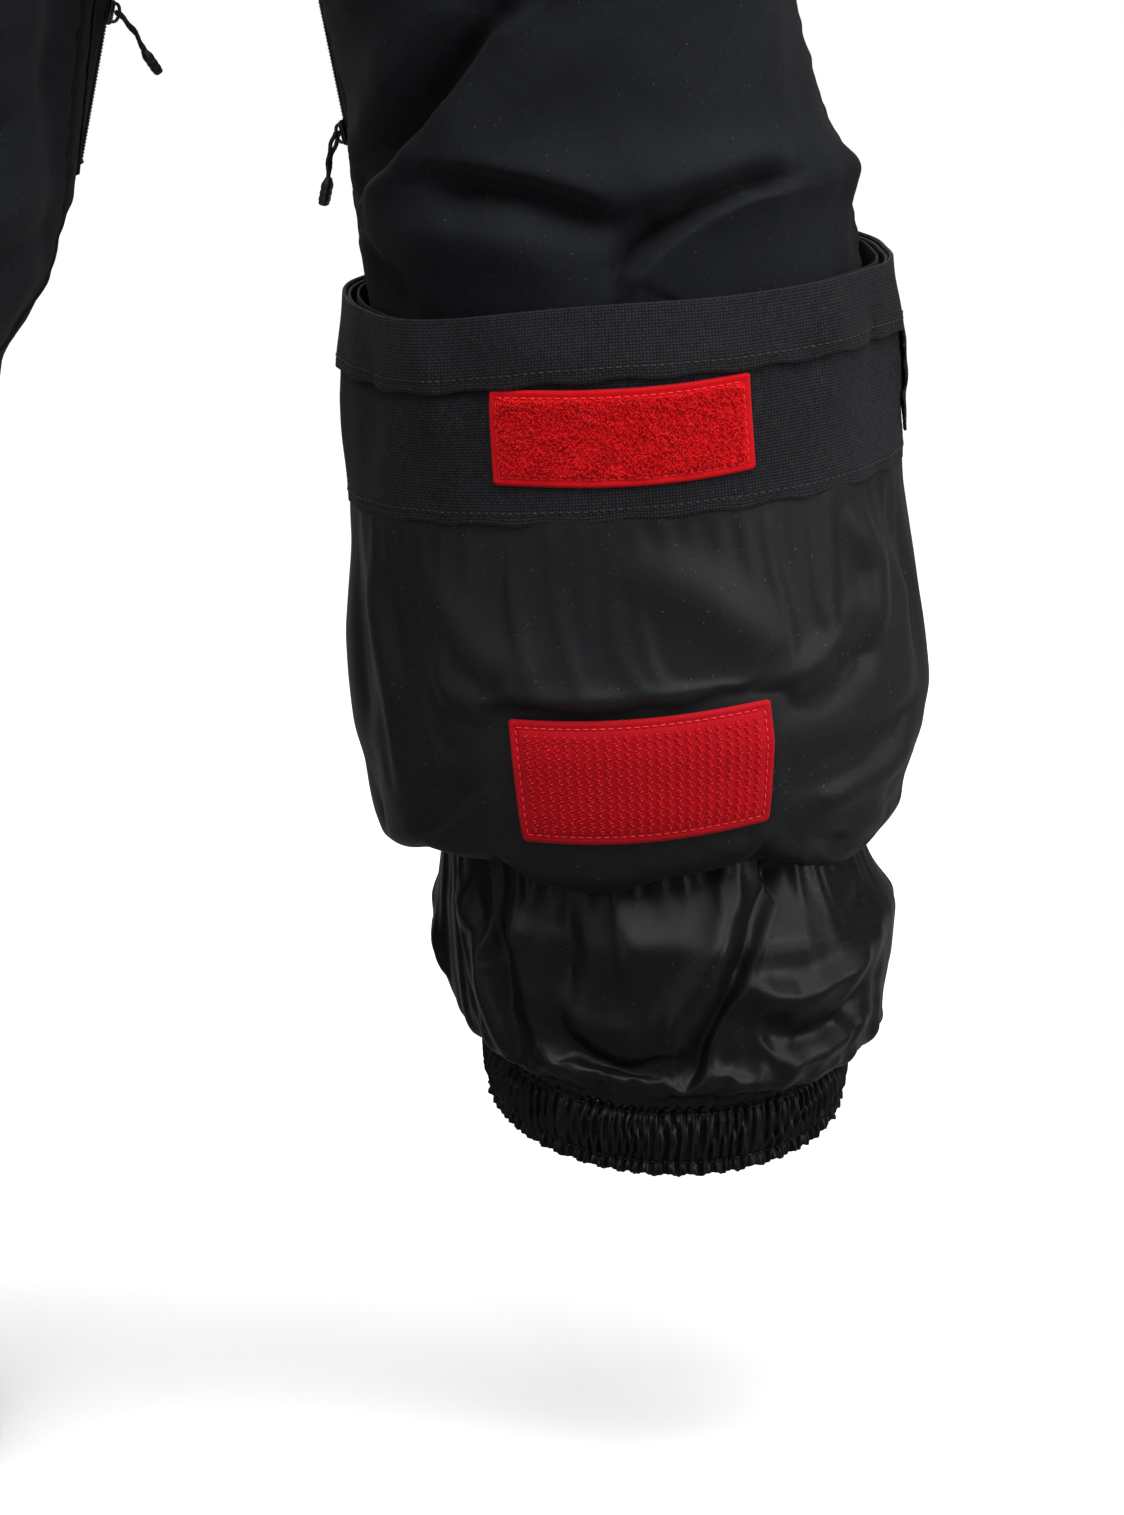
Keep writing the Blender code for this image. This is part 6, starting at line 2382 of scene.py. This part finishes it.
class Fly:
    """The fly's zip on its tape between the two front edges."""

    low, high = 0.885, 0.996

    def __init__(self, frame: dict) -> None:
        """Finds the zip's line on the front."""
        start = np.array([0.0, self.front(self.low) - 0.0040, self.low - WAIST_TOP])
        end = np.array([0.0, self.front(self.high) - 0.0030, self.high - WAIST_TOP])
        facing = np.array([0.0, -1.0, 0.0])
        along = (end - start) / np.linalg.norm(end - start)
        facing = facing - along * float(facing @ along)
        facing /= np.linalg.norm(facing)
        self.zip = zip_from_frame(frame, "fly", start, end, facing, 0.024)

    def front(self, height: float) -> float:
        """Returns where the front of the middle seam is at this height."""
        tube = RIGHT_LEG
        return float(tube.point(height, tube.inner_angle(height))[1])

    def build(self) -> None:
        """Makes the zip and its tapes."""

        def spot(u: Array, v: Array, out: Array) -> Array:
            """Returns points of the flat tape, dropping a little at its outer edges."""
            return self.zip.place(u, out - 0.0007 - 0.9 * u * u, v)

        self.zip.build(spot)


# ---------------------------------------------------------------- waist


def strap_surface(
    tube: Tube, low: float, high: float, first: float, last: float, out: float, plan: SewnPlan
) -> tuple[Surface, Array]:
    """Returns a sewn piece of cloth on a tube and how far each place is from its edge.

    Args:
        tube: what the piece lies on.
        low: its lower edge.
        high: its upper edge.
        first: the angle of its first side.
        last: the angle of its last side.
        out: how far its face stands off the tube.
        plan: its corner radius, edge rounding and grid.
    """
    rows, columns = plan.rows, plan.columns
    v = np.linspace(0, 1, rows)
    u = np.linspace(0, 1, columns)
    middle = (low + high) / 2
    degree = float(np.linalg.norm(tube.point(middle, first + 1) - tube.point(middle, first)))
    width = np.radians(last - first) * degree * 57.3
    across = (u[None, :] - 0.5) * width
    up = (v[:, None] - 0.5) * (high - low)
    half_w, half_h = width / 2, (high - low) / 2
    r = plan.corner
    # Rows pull in at the corners, so that the outline is round there.
    near = np.clip(np.abs(up) - (half_h - r), 0, r)
    inset = (r - np.sqrt(np.clip(r * r - near * near, 0, None))) * plan.round_rows(v)[:, None]
    across = across * (half_w - inset) / half_w
    angle = (first + last) / 2 + np.degrees(across / width * np.radians(last - first))
    level = middle + up + np.zeros(across.shape)
    rim = np.minimum(half_w - inset - np.abs(across), half_h - np.abs(up))
    dome = plan.thick * (np.sqrt(np.clip(1 - (1 - np.clip(rim / plan.edge, 0, 1)) ** 2, 0, 1)) - 1)
    sewn = np.zeros(rim.shape)
    for seam in plan.seams:
        sewn -= 0.0005 * bell((rim - seam) / 0.0009)
    puff = plan.puff * smooth((rim - 0.004) / 0.012)
    puff = puff + puckers(rim - 0.003, across + up, plan.pucker, 0.010, 0.005, plan.seed)
    wave = np.sin(across * 130 + plan.seed) * np.cos(up * 90 + plan.seed)
    puff = puff + plan.wave * wave * smooth(rim / 0.01)
    surface = surface_of(tube, level, angle, False, out + dome + sewn + puff)
    surface.uv = np.stack([np.broadcast_to(across, level.shape), up + np.zeros(across.shape)], -1)
    return surface, rim


@dataclass(frozen=True)
class SewnPlan:
    """How a sewn-on piece is shaped: its corners, edge, seams and unevenness, in metres."""

    corner: float = 0.006
    edge: float = 0.0014
    thick: float = 0.0014
    seams: tuple[float, ...] = (0.0022,)
    puff: float = 0.0
    pucker: float = 0.00018
    wave: float = 0.0004
    rows: int = 80
    columns: int = 110
    seed: int = 1
    round_low: bool = True
    round_high: bool = True

    def round_rows(self, v: Array) -> Array:
        """Returns which rows have rounded corners."""
        return np.where(v < 0.5, float(self.round_low), float(self.round_high))


def seam_round(
    surface: Surface,
    rim: Array,
    inset: float,
    stitching: Stitching,
    side: int,
    kind: StitchLine = StitchLine(),
) -> None:
    """Adds stitches round a sewn piece, this far in from its edge."""
    rows, columns = rim.shape
    middle_row, middle_column = rows // 2, columns // 2
    row = int(np.argmin(np.abs(rim[:middle_row, middle_column] - inset)))
    column = int(np.argmin(np.abs(rim[middle_row, :middle_column] - inset)))
    i = [row] * (columns - 2 * column) + list(range(row, rows - row))
    j = list(range(column, columns - column)) + [columns - 1 - column] * (rows - 2 * row)
    i += [rows - 1 - row] * (columns - 2 * column) + list(range(rows - 1 - row, row - 1, -1))
    j += list(range(columns - 1 - column, column - 1, -1)) + [column] * (rows - 2 * row)
    normals = surface.normals(side)
    stitching.add(surface.points[i, j], normals[i, j], kind)


class Waist:
    """The waistband, its belt loops, front tab with press stud, and the two adjusters."""

    def __init__(self, stitching: Stitching) -> None:
        """Keeps the mesh for the stitches on the garment."""
        self.stitching = stitching

    def band(self) -> None:
        """Makes the waistband: a folded strip, open at the front."""
        opening = 2.5
        angles = np.linspace(90 + opening, 450 - opening, 520)
        profile = lip_profile(1.0, 1.040, 0.0, 0.003, 0.0020)
        levels = np.broadcast_to(profile[:, :1], (len(profile), len(angles)))
        waviness = Ripples(77, 0.0006, (3, 14), (10, 60))
        waves = waviness.relief(angles[None, :], levels)
        seam = bell((levels - 1.0032) / 0.0010) + bell((levels - 1.0368) / 0.0010)
        gathered = puckers(levels - 1.003, np.radians(angles)[None, :] * 0.15, 0.0003, 0.012, 0.008, 5)
        ends = smooth(np.minimum(angles - angles[0], angles[-1] - angles) / 4)[None, :]
        relief = (waves * 0.6 + gathered) * ends - 0.0004 * seam
        surface = ring_of(WAIST, profile, angles, relief)
        surface.closed = False
        rows, columns = levels.shape
        quads = grid_quads(rows, columns, False, closed_up=True)
        uv = surface.uv.reshape(-1, 2)[quads]
        last = quads[:, 3] < quads[:, 0]
        uv[last, 2:, 1] += surface.uv[-1, 0, 1] - surface.uv[0, 0, 1]
        caps = []
        for column, flip in ((0, True), (columns - 1, False)):
            ring = np.arange(rows) * columns + column
            half = rows // 2
            for k in range(half - 1):
                quad = [ring[k], ring[k + 1], ring[rows - 2 - k], ring[rows - 1 - k]]
                caps.append(quad[::-1] if flip else quad)
        caps = np.array(caps)
        faces = np.concatenate([quads, caps])
        uvs = np.concatenate([uv, surface.uv.reshape(-1, 2)[caps]])
        mesh = mesh_from("waistband_cloth", surface.points.reshape(-1, 3), faces, uvs)
        made = put("waistband_cloth", mesh, MAIN)
        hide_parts("waistband")
        for level in (1.0032, 1.0368):
            spot = np.linspace(angles[0] + 0.5, angles[-1] - 0.5, 900)
            here = WAIST.point(level, spot, 0.0001 + 0.6 * waviness.relief(spot, level))
            normals = here * np.array([1.0, 2.2, 0.0])
            normals /= np.linalg.norm(normals, axis=1, keepdims=True)
            self.stitching.add(here, normals)

    def loops(self) -> None:
        """Makes the belt loops, each a folded strap with two rows of stitches and bar tacks."""
        for name, angle in (("back", 270.0), ("right", 0.0), ("left", 180.0)):
            half = math.degrees((0.0053 if name == "back" else 0.0055) / 0.1165)
            heights = np.array([
                0.9965, 0.9985, 1.0005, 1.0045, 1.0080, 1.0110,
                1.0200, 1.0290, 1.0325, 1.0355, 1.0395, 1.0420,
            ])
            outs = np.array([
                0.0026, 0.0030, 0.0040, 0.0086, 0.0099, 0.0102,
                0.0104, 0.0102, 0.0099, 0.0086, 0.0040, 0.0026,
            ])
            share = np.linspace(0, 1, 70)
            steps = np.concatenate([[0], np.cumsum(np.hypot(np.diff(heights), np.diff(outs)))])
            level = np.interp(share * steps[-1], steps, heights)
            out = np.interp(share * steps[-1], steps, outs)
            out = np.convolve(np.pad(out, 2, mode="edge"), np.ones(5) / 5, mode="valid")
            u = np.linspace(-1, 1, 15)
            ridge = 0.0004 * rounded(u, 6) - 0.0002 * bell((np.abs(u) - 0.62) / 0.12)
            tacks = 0.00035 * (bell((level - 1.0005) / 0.0012) + bell((level - 1.0385) / 0.0012))
            surface = surface_of(
                WAIST, level[:, None] + 0 * u[None, :], angle + half * u[None, :] + 0 * level[:, None], False,
                out[:, None] + ridge[None, :] + tacks[:, None],
            )
            surface.uv = np.stack(np.broadcast_arrays(u[None, :] * 0.0055, (share * steps[-1])[:, None]), -1)
            mesh = sheet_mesh(f"{name}_belt_loop_strap", surface, LEFT, 0.0015)
            made = put(f"{name}_belt_loop_strap", mesh, MAIN)
            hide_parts(f"{name}_belt_loop")
            normals = surface.normals(LEFT)
            for column in (2, 12):
                self.stitching.add(surface.points[:, column], normals[:, column])

    def tab(self) -> None:
        """Makes the front tab with its stitches, and the press stud's cap and post."""
        plan = SewnPlan(
            corner=0.009, thick=0.0020, edge=0.0015,
            seams=(0.0024,), wave=0.0002, rows=60, columns=90, seed=4,
        )
        surface, rim = strap_surface(WAIST, 1.002, 1.038, 78, 104, 0.0054, plan)
        mesh = sheet_mesh("waist_tab_cloth", surface, LEFT, 0.0019)
        made = put("waist_tab_cloth", mesh, MAIN, "waist_tab")
        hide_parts("waist_tab")
        stitches = Stitching("waist_tab_stitches", THREAD, "main_fabric", "waist_tab")
        seam_round(surface, rim, 0.0024, stitches, LEFT)
        stitches.build()
        low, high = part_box("waist_snap_cap")
        self.stud("waist_snap_cap_dome", low, high, "waist_tab", "waist_snap_cap", True)
        low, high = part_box("waist_snap_post")
        self.stud("waist_snap_post_dome", low, high, BODY, "waist_snap_post", False)

    def stud(self, name: str, low: Array, high: Array, body: str, node: str, cap: bool) -> None:
        """Makes one half of the press stud as a turned piece facing the front."""
        middle_x, middle_z = (low[0] + high[0]) / 2, (low[2] + high[2]) / 2
        radius, depth = (high[0] - low[0]) / 2, high[1] - low[1]
        if cap:
            profile = [
                (0, 0.90), (0.30, 0.90), (0.36, 0.97), (0.62, 1.0), (0.70, 0.88),
                (0.80, 0.90), (0.93, 0.66), (1.0, 0.30), (0.98, 0.0), (0, 0.0),
            ]
        else:
            profile = [
                (0, 1.0), (0.40, 1.0), (0.50, 0.92), (0.52, 0.55), (0.66, 0.36),
                (0.94, 0.30), (1.0, 0.12), (0.97, 0.0), (0, 0.0),
            ]
        columns = 64
        turn = np.radians(np.arange(columns) * 360.0 / columns)
        outline = np.array(profile)
        fine = []
        for a, b in zip(outline[:-1], outline[1:]):
            fine += [a + (b - a) * t for t in (0.0, 0.12, 0.5, 0.88)]
        fine = np.array(fine[1:] + [outline[-1]])[:-1]
        rings = np.stack(
            np.broadcast_arrays(
                middle_x + radius * fine[:, :1] * np.cos(turn)[None, :],
                high[1] - depth * fine[:, 1:],
                middle_z + radius * fine[:, :1] * np.sin(turn)[None, :],
            ),
            -1,
        )
        front = high[1] - depth * profile[0][1]
        ends = np.array([(middle_x, front, middle_z), (middle_x, high[1], middle_z)])
        mesh = capped_mesh(name, rings, ends)
        if mesh.polygons[(len(fine) - 1) * columns].normal.y > 0:
            mesh.flip_normals()
        mesh.shade_smooth()
        made = put(name, mesh, METAL, body)
        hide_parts(node)

    def adjusters(self) -> None:
        """Makes the two side adjuster tabs, each on its own body, with stitches at the sewn end."""
        for name, first, last in (("right", 22, 50), ("left", 130, 158)):
            plan = SewnPlan(
                corner=0.007, thick=0.0014, edge=0.0012,
                seams=(0.0022,), wave=0.0002, rows=50, columns=90, seed=8,
            )
            surface, rim = strap_surface(WAIST, 1.008, 1.032, first, last, 0.0025, plan)
            mesh = sheet_mesh(f"{name}_adjuster_strap", surface, LEFT, 0.0013)
            made = put(f"{name}_adjuster_strap", mesh, OXFORD, f"{name}_adjuster")
            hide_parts(f"{name}_adjuster_tab")
            stitches = Stitching(f"{name}_adjuster_stitches", THREAD, "guard_fabric", f"{name}_adjuster")
            seam_round(surface, rim, 0.0022, stitches, LEFT)
            stitches.build()

    def build(self) -> None:
        """Makes every piece of the waist."""
        self.band()
        self.loops()
        self.tab()
        self.adjusters()


class Pockets:
    """One leg's cargo pocket with its flap, and its knee patch."""

    def __init__(self, leg: Leg, stitching: Stitching, heavy: Stitching) -> None:
        """Keeps the leg and the meshes for the stitches."""
        self.leg, self.stitching, self.heavy = leg, stitching, heavy

    def build(self) -> None:
        """Makes the pocket, the flap and the knee patch."""
        tube, name = self.leg.tube, self.leg.name
        plan = SewnPlan(
            corner=0.012, thick=0.0016,
            seams=(0.0024, 0.0082), puff=0.0022, wave=0.0007, rows=110, columns=90, seed=3, round_high=False,
        )
        surface, rim = strap_surface(tube, 0.610, 0.765, 146, 204, 0.0020, plan)
        mesh = sheet_mesh(f"{name}_cargo_pocket_cloth", surface, tube.side, 0.0014)
        made = put(f"{name}_cargo_pocket_cloth", mesh, MAIN)
        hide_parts(f"{name}_cargo_pocket")
        seam_round(surface, rim, 0.0024, self.stitching, tube.side)
        seam_round(surface, rim, 0.0082, self.stitching, tube.side)
        self.flap()
        self.knee()

    def flap(self) -> None:
        """Makes the pocket's flap on its own body."""
        tube, name = self.leg.tube, self.leg.name
        body = f"{name}_cargo_flap"
        plan = SewnPlan(
            corner=0.010, thick=0.0016,
            seams=(0.0024, 0.0070), puff=0.0006, wave=0.0004, rows=60, columns=110, seed=6, round_high=False,
        )
        surface, rim = strap_surface(tube, 0.738, 0.786, 144, 206, 0.0064, plan)
        mesh = sheet_mesh(f"{name}_cargo_flap_cloth", surface, tube.side, 0.0014)
        made = put(f"{name}_cargo_flap_cloth", mesh, MAIN, body)
        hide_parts(f"{name}_cargo_flap")
        stitches = Stitching(f"{name}_cargo_flap_stitches", THREAD, "main_fabric", body)
        seam_round(surface, rim, 0.0024, stitches, tube.side)
        seam_round(surface, rim, 0.0070, stitches, tube.side)
        stitches.build()

    def knee(self) -> None:
        """Makes the heavy woven patch over the knee, which follows the leg's own folds."""
        tube, name = self.leg.tube, self.leg.name
        plan = SewnPlan(
            corner=0.014, thick=0.0014,
            seams=(0.0024, 0.0078), puff=0.0, wave=0.0, rows=120, columns=130, seed=5,
        )
        surface, rim = strap_surface(tube, 0.500, 0.640, 52, 128, 0.0, plan)
        angle, level = self.places(surface)
        lift = self.leg.relief(angle, level) + 0.0018
        surface.points = surface.points + surface.normals(tube.side) * lift[..., None]
        mesh = sheet_mesh(f"{name}_knee_patch_cloth", surface, tube.side, 0.0014)
        made = put(f"{name}_knee_patch_cloth", mesh, OXFORD)
        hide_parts(f"{name}_knee_patch")
        for inset in (0.0024, 0.0078):
            seam_round(surface, rim, inset, self.heavy, tube.side)

    def places(self, surface: Surface) -> tuple[Array, Array]:
        """Returns the angle and height of each point of the knee patch."""
        tube = self.leg.tube
        level = surface.points[..., 2] + WAIST_TOP
        for _ in range(3):
            centre_x, half_width, centre_y, half_depth = tube.section(level)
            turn = np.arctan2(
                (centre_y - surface.points[..., 1]) / half_depth,
                (centre_x - surface.points[..., 0] * tube.side) / half_width,
            )
            level = surface.points[..., 2] + WAIST_TOP - tube.tilt.rise(level, turn)
        return np.degrees(turn) % 360, level


# ---------------------------------------------------------------- studio


class Studio:
    """The plain pale floor, the soft lights and the camera."""

    def build(self) -> None:
        """Makes the floor, the lights, the world and the camera."""
        self.floor()
        self.world()
        for name, place, aim, size, power in (
            ("light_right", (-2.3, 1.35, 0.30), (-0.20, 0.0, -0.62), (1.0, 1.8), 40),
            ("light_left", (2.1, 1.9, 0.10), (-0.10, 0.0, -0.62), (1.2, 1.8), 8),
            ("light_over", (-0.4, 1.6, 1.8), (-0.15, 0.0, -0.55), (1.8, 1.2), 21),
            ("light_front", (0.6, -2.6, 0.9), (0.0, 0.0, -0.55), (2.4, 1.8), 24),
        ):
            self.light(name, place, aim, size, power)
        self.sky()
        self.camera()
        bpy.context.scene.view_settings.view_transform = "Standard"

    def floor(self) -> None:
        """Makes the floor at the wearer's ground."""
        mesh = bpy.data.meshes.new("studio_floor")
        reach = 30.0
        corners = [(-reach, -reach, 0), (reach, -reach, 0), (reach, reach, 0), (-reach, reach, 0)]
        mesh.from_pydata(corners, [], [(0, 1, 2, 3)])
        ground = bpy.data.objects.new("studio_floor", mesh)
        ground.location.z = -WAIST_TOP - 0.002
        bpy.context.scene.collection.objects.link(ground)
        material = bpy.data.materials.new("pale_floor")
        material.use_nodes = True
        tree = Nodes(material.node_tree)
        shader = material.node_tree.nodes["Principled BSDF"]
        shader.inputs["Specular IOR Level"].default_value = 0.1
        place = tree.node("ShaderNodeTexCoord").outputs["Object"]
        colour = tree.mix(tree.noise(place, 2.0), (0.92, 0.92, 0.92, 1), (0.95, 0.95, 0.95, 1))
        # Light that bounces off the floor is kept low, so that undersides stay in shade.
        seen = tree.node("ShaderNodeLightPath").outputs["Is Camera Ray"]
        tree.link(tree.mix(seen, (0.22, 0.22, 0.22, 1), colour), shader.inputs["Base Color"])
        shader.inputs["Roughness"].default_value = 0.9
        mesh.materials.append(material)

    def world(self) -> None:
        """Makes the surroundings plain white."""
        world = bpy.data.worlds.new("studio")
        world.use_nodes = True
        tree = Nodes(world.node_tree)
        back = world.node_tree.nodes["Background"]
        back.inputs["Color"].default_value = (1, 1, 1, 1)
        seen = tree.node("ShaderNodeLightPath").outputs["Is Camera Ray"]
        tree.link(tree.math("MULTIPLY_ADD", seen, 0.82, 0.18), back.inputs["Strength"])
        bpy.context.scene.world = world

    def light(
        self,
        name: str,
        place: tuple[float, float, float],
        aim: tuple[float, float, float],
        size: tuple[float, float],
        power: float,
    ) -> None:
        """Makes one soft rectangular light that faces a point."""
        lamp = bpy.data.lights.new(name, "AREA")
        lamp.shape = "RECTANGLE"
        lamp.size, lamp.size_y = size
        lamp.energy = power
        made = bpy.data.objects.new(name, lamp)
        made.location = place
        made.rotation_euler = (Vector(aim) - Vector(place)).to_track_quat("-Z", "Y").to_euler()
        bpy.context.scene.collection.objects.link(made)

    def sky(self) -> None:
        """Makes the wide even light from overhead that keeps the floor pale."""
        lamp = bpy.data.lights.new("light_sky", "SUN")
        lamp.energy = 3.15
        lamp.angle = math.radians(75)
        made = bpy.data.objects.new("light_sky", lamp)
        made.location = (0.0, 0.5, 3.0)
        made.rotation_euler = (math.radians(-14), 0.0, 0.0)
        bpy.context.scene.collection.objects.link(made)

    def camera(self) -> None:
        """Makes the camera behind the right leg, at knee height and a little above the cuff."""
        lens = bpy.data.cameras.new("camera")
        lens.lens = 110.6
        lens.sensor_width = 36.0
        made = bpy.data.objects.new("camera", lens)
        made.location = (-0.143, 1.9, -0.459)
        made.rotation_euler = (math.radians(81.2), 0.0, math.radians(180.0))
        bpy.context.scene.collection.objects.link(made)
        bpy.context.scene.camera = made


# ---------------------------------------------------------------- assembly


def main() -> None:
    """Builds every sub-assembly in order."""
    logging.basicConfig(level=logging.INFO, format="%(name)s %(message)s")
    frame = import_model()
    Studio().build()
    seams = Stitching("leg_seam_stitches", THREAD, "main_fabric")
    cuff_seams = Stitching("cuff_stitches", THREAD, "guard_fabric")
    red = Stitching("patch_stitches", RED_THREAD, "red_loop_pile")
    legs = (RightLeg(RIGHT_LEG, 0.268, seams, 3), LeftLeg(LEFT_LEG, 0.040, seams, 9))
    for leg in legs:
        leg.build()
        Pockets(leg, seams, cuff_seams).build()
        VentZip(frame, leg).build()
        PocketZip(frame, leg).build()
    Fly(frame).build()
    Waist(seams).build()
    seams.build()
    RightCuff(cuff_seams, red).build()
    LeftCuff(legs[1], cuff_seams, red).build()
    cuff_seams.build()
    red.build()
    for side in (RIGHT, LEFT):
        stitches = Stitching(
            f"{SIDE_NAMES[side]}_gaiter_stitches", THREAD, "lining_fabric", f"{SIDE_NAMES[side]}_gaiter_end"
        )
        Gaiter(side, stitches).build()
        stitches.build()
    log.info("all pieces built")


if __name__ == "__main__":
    main()
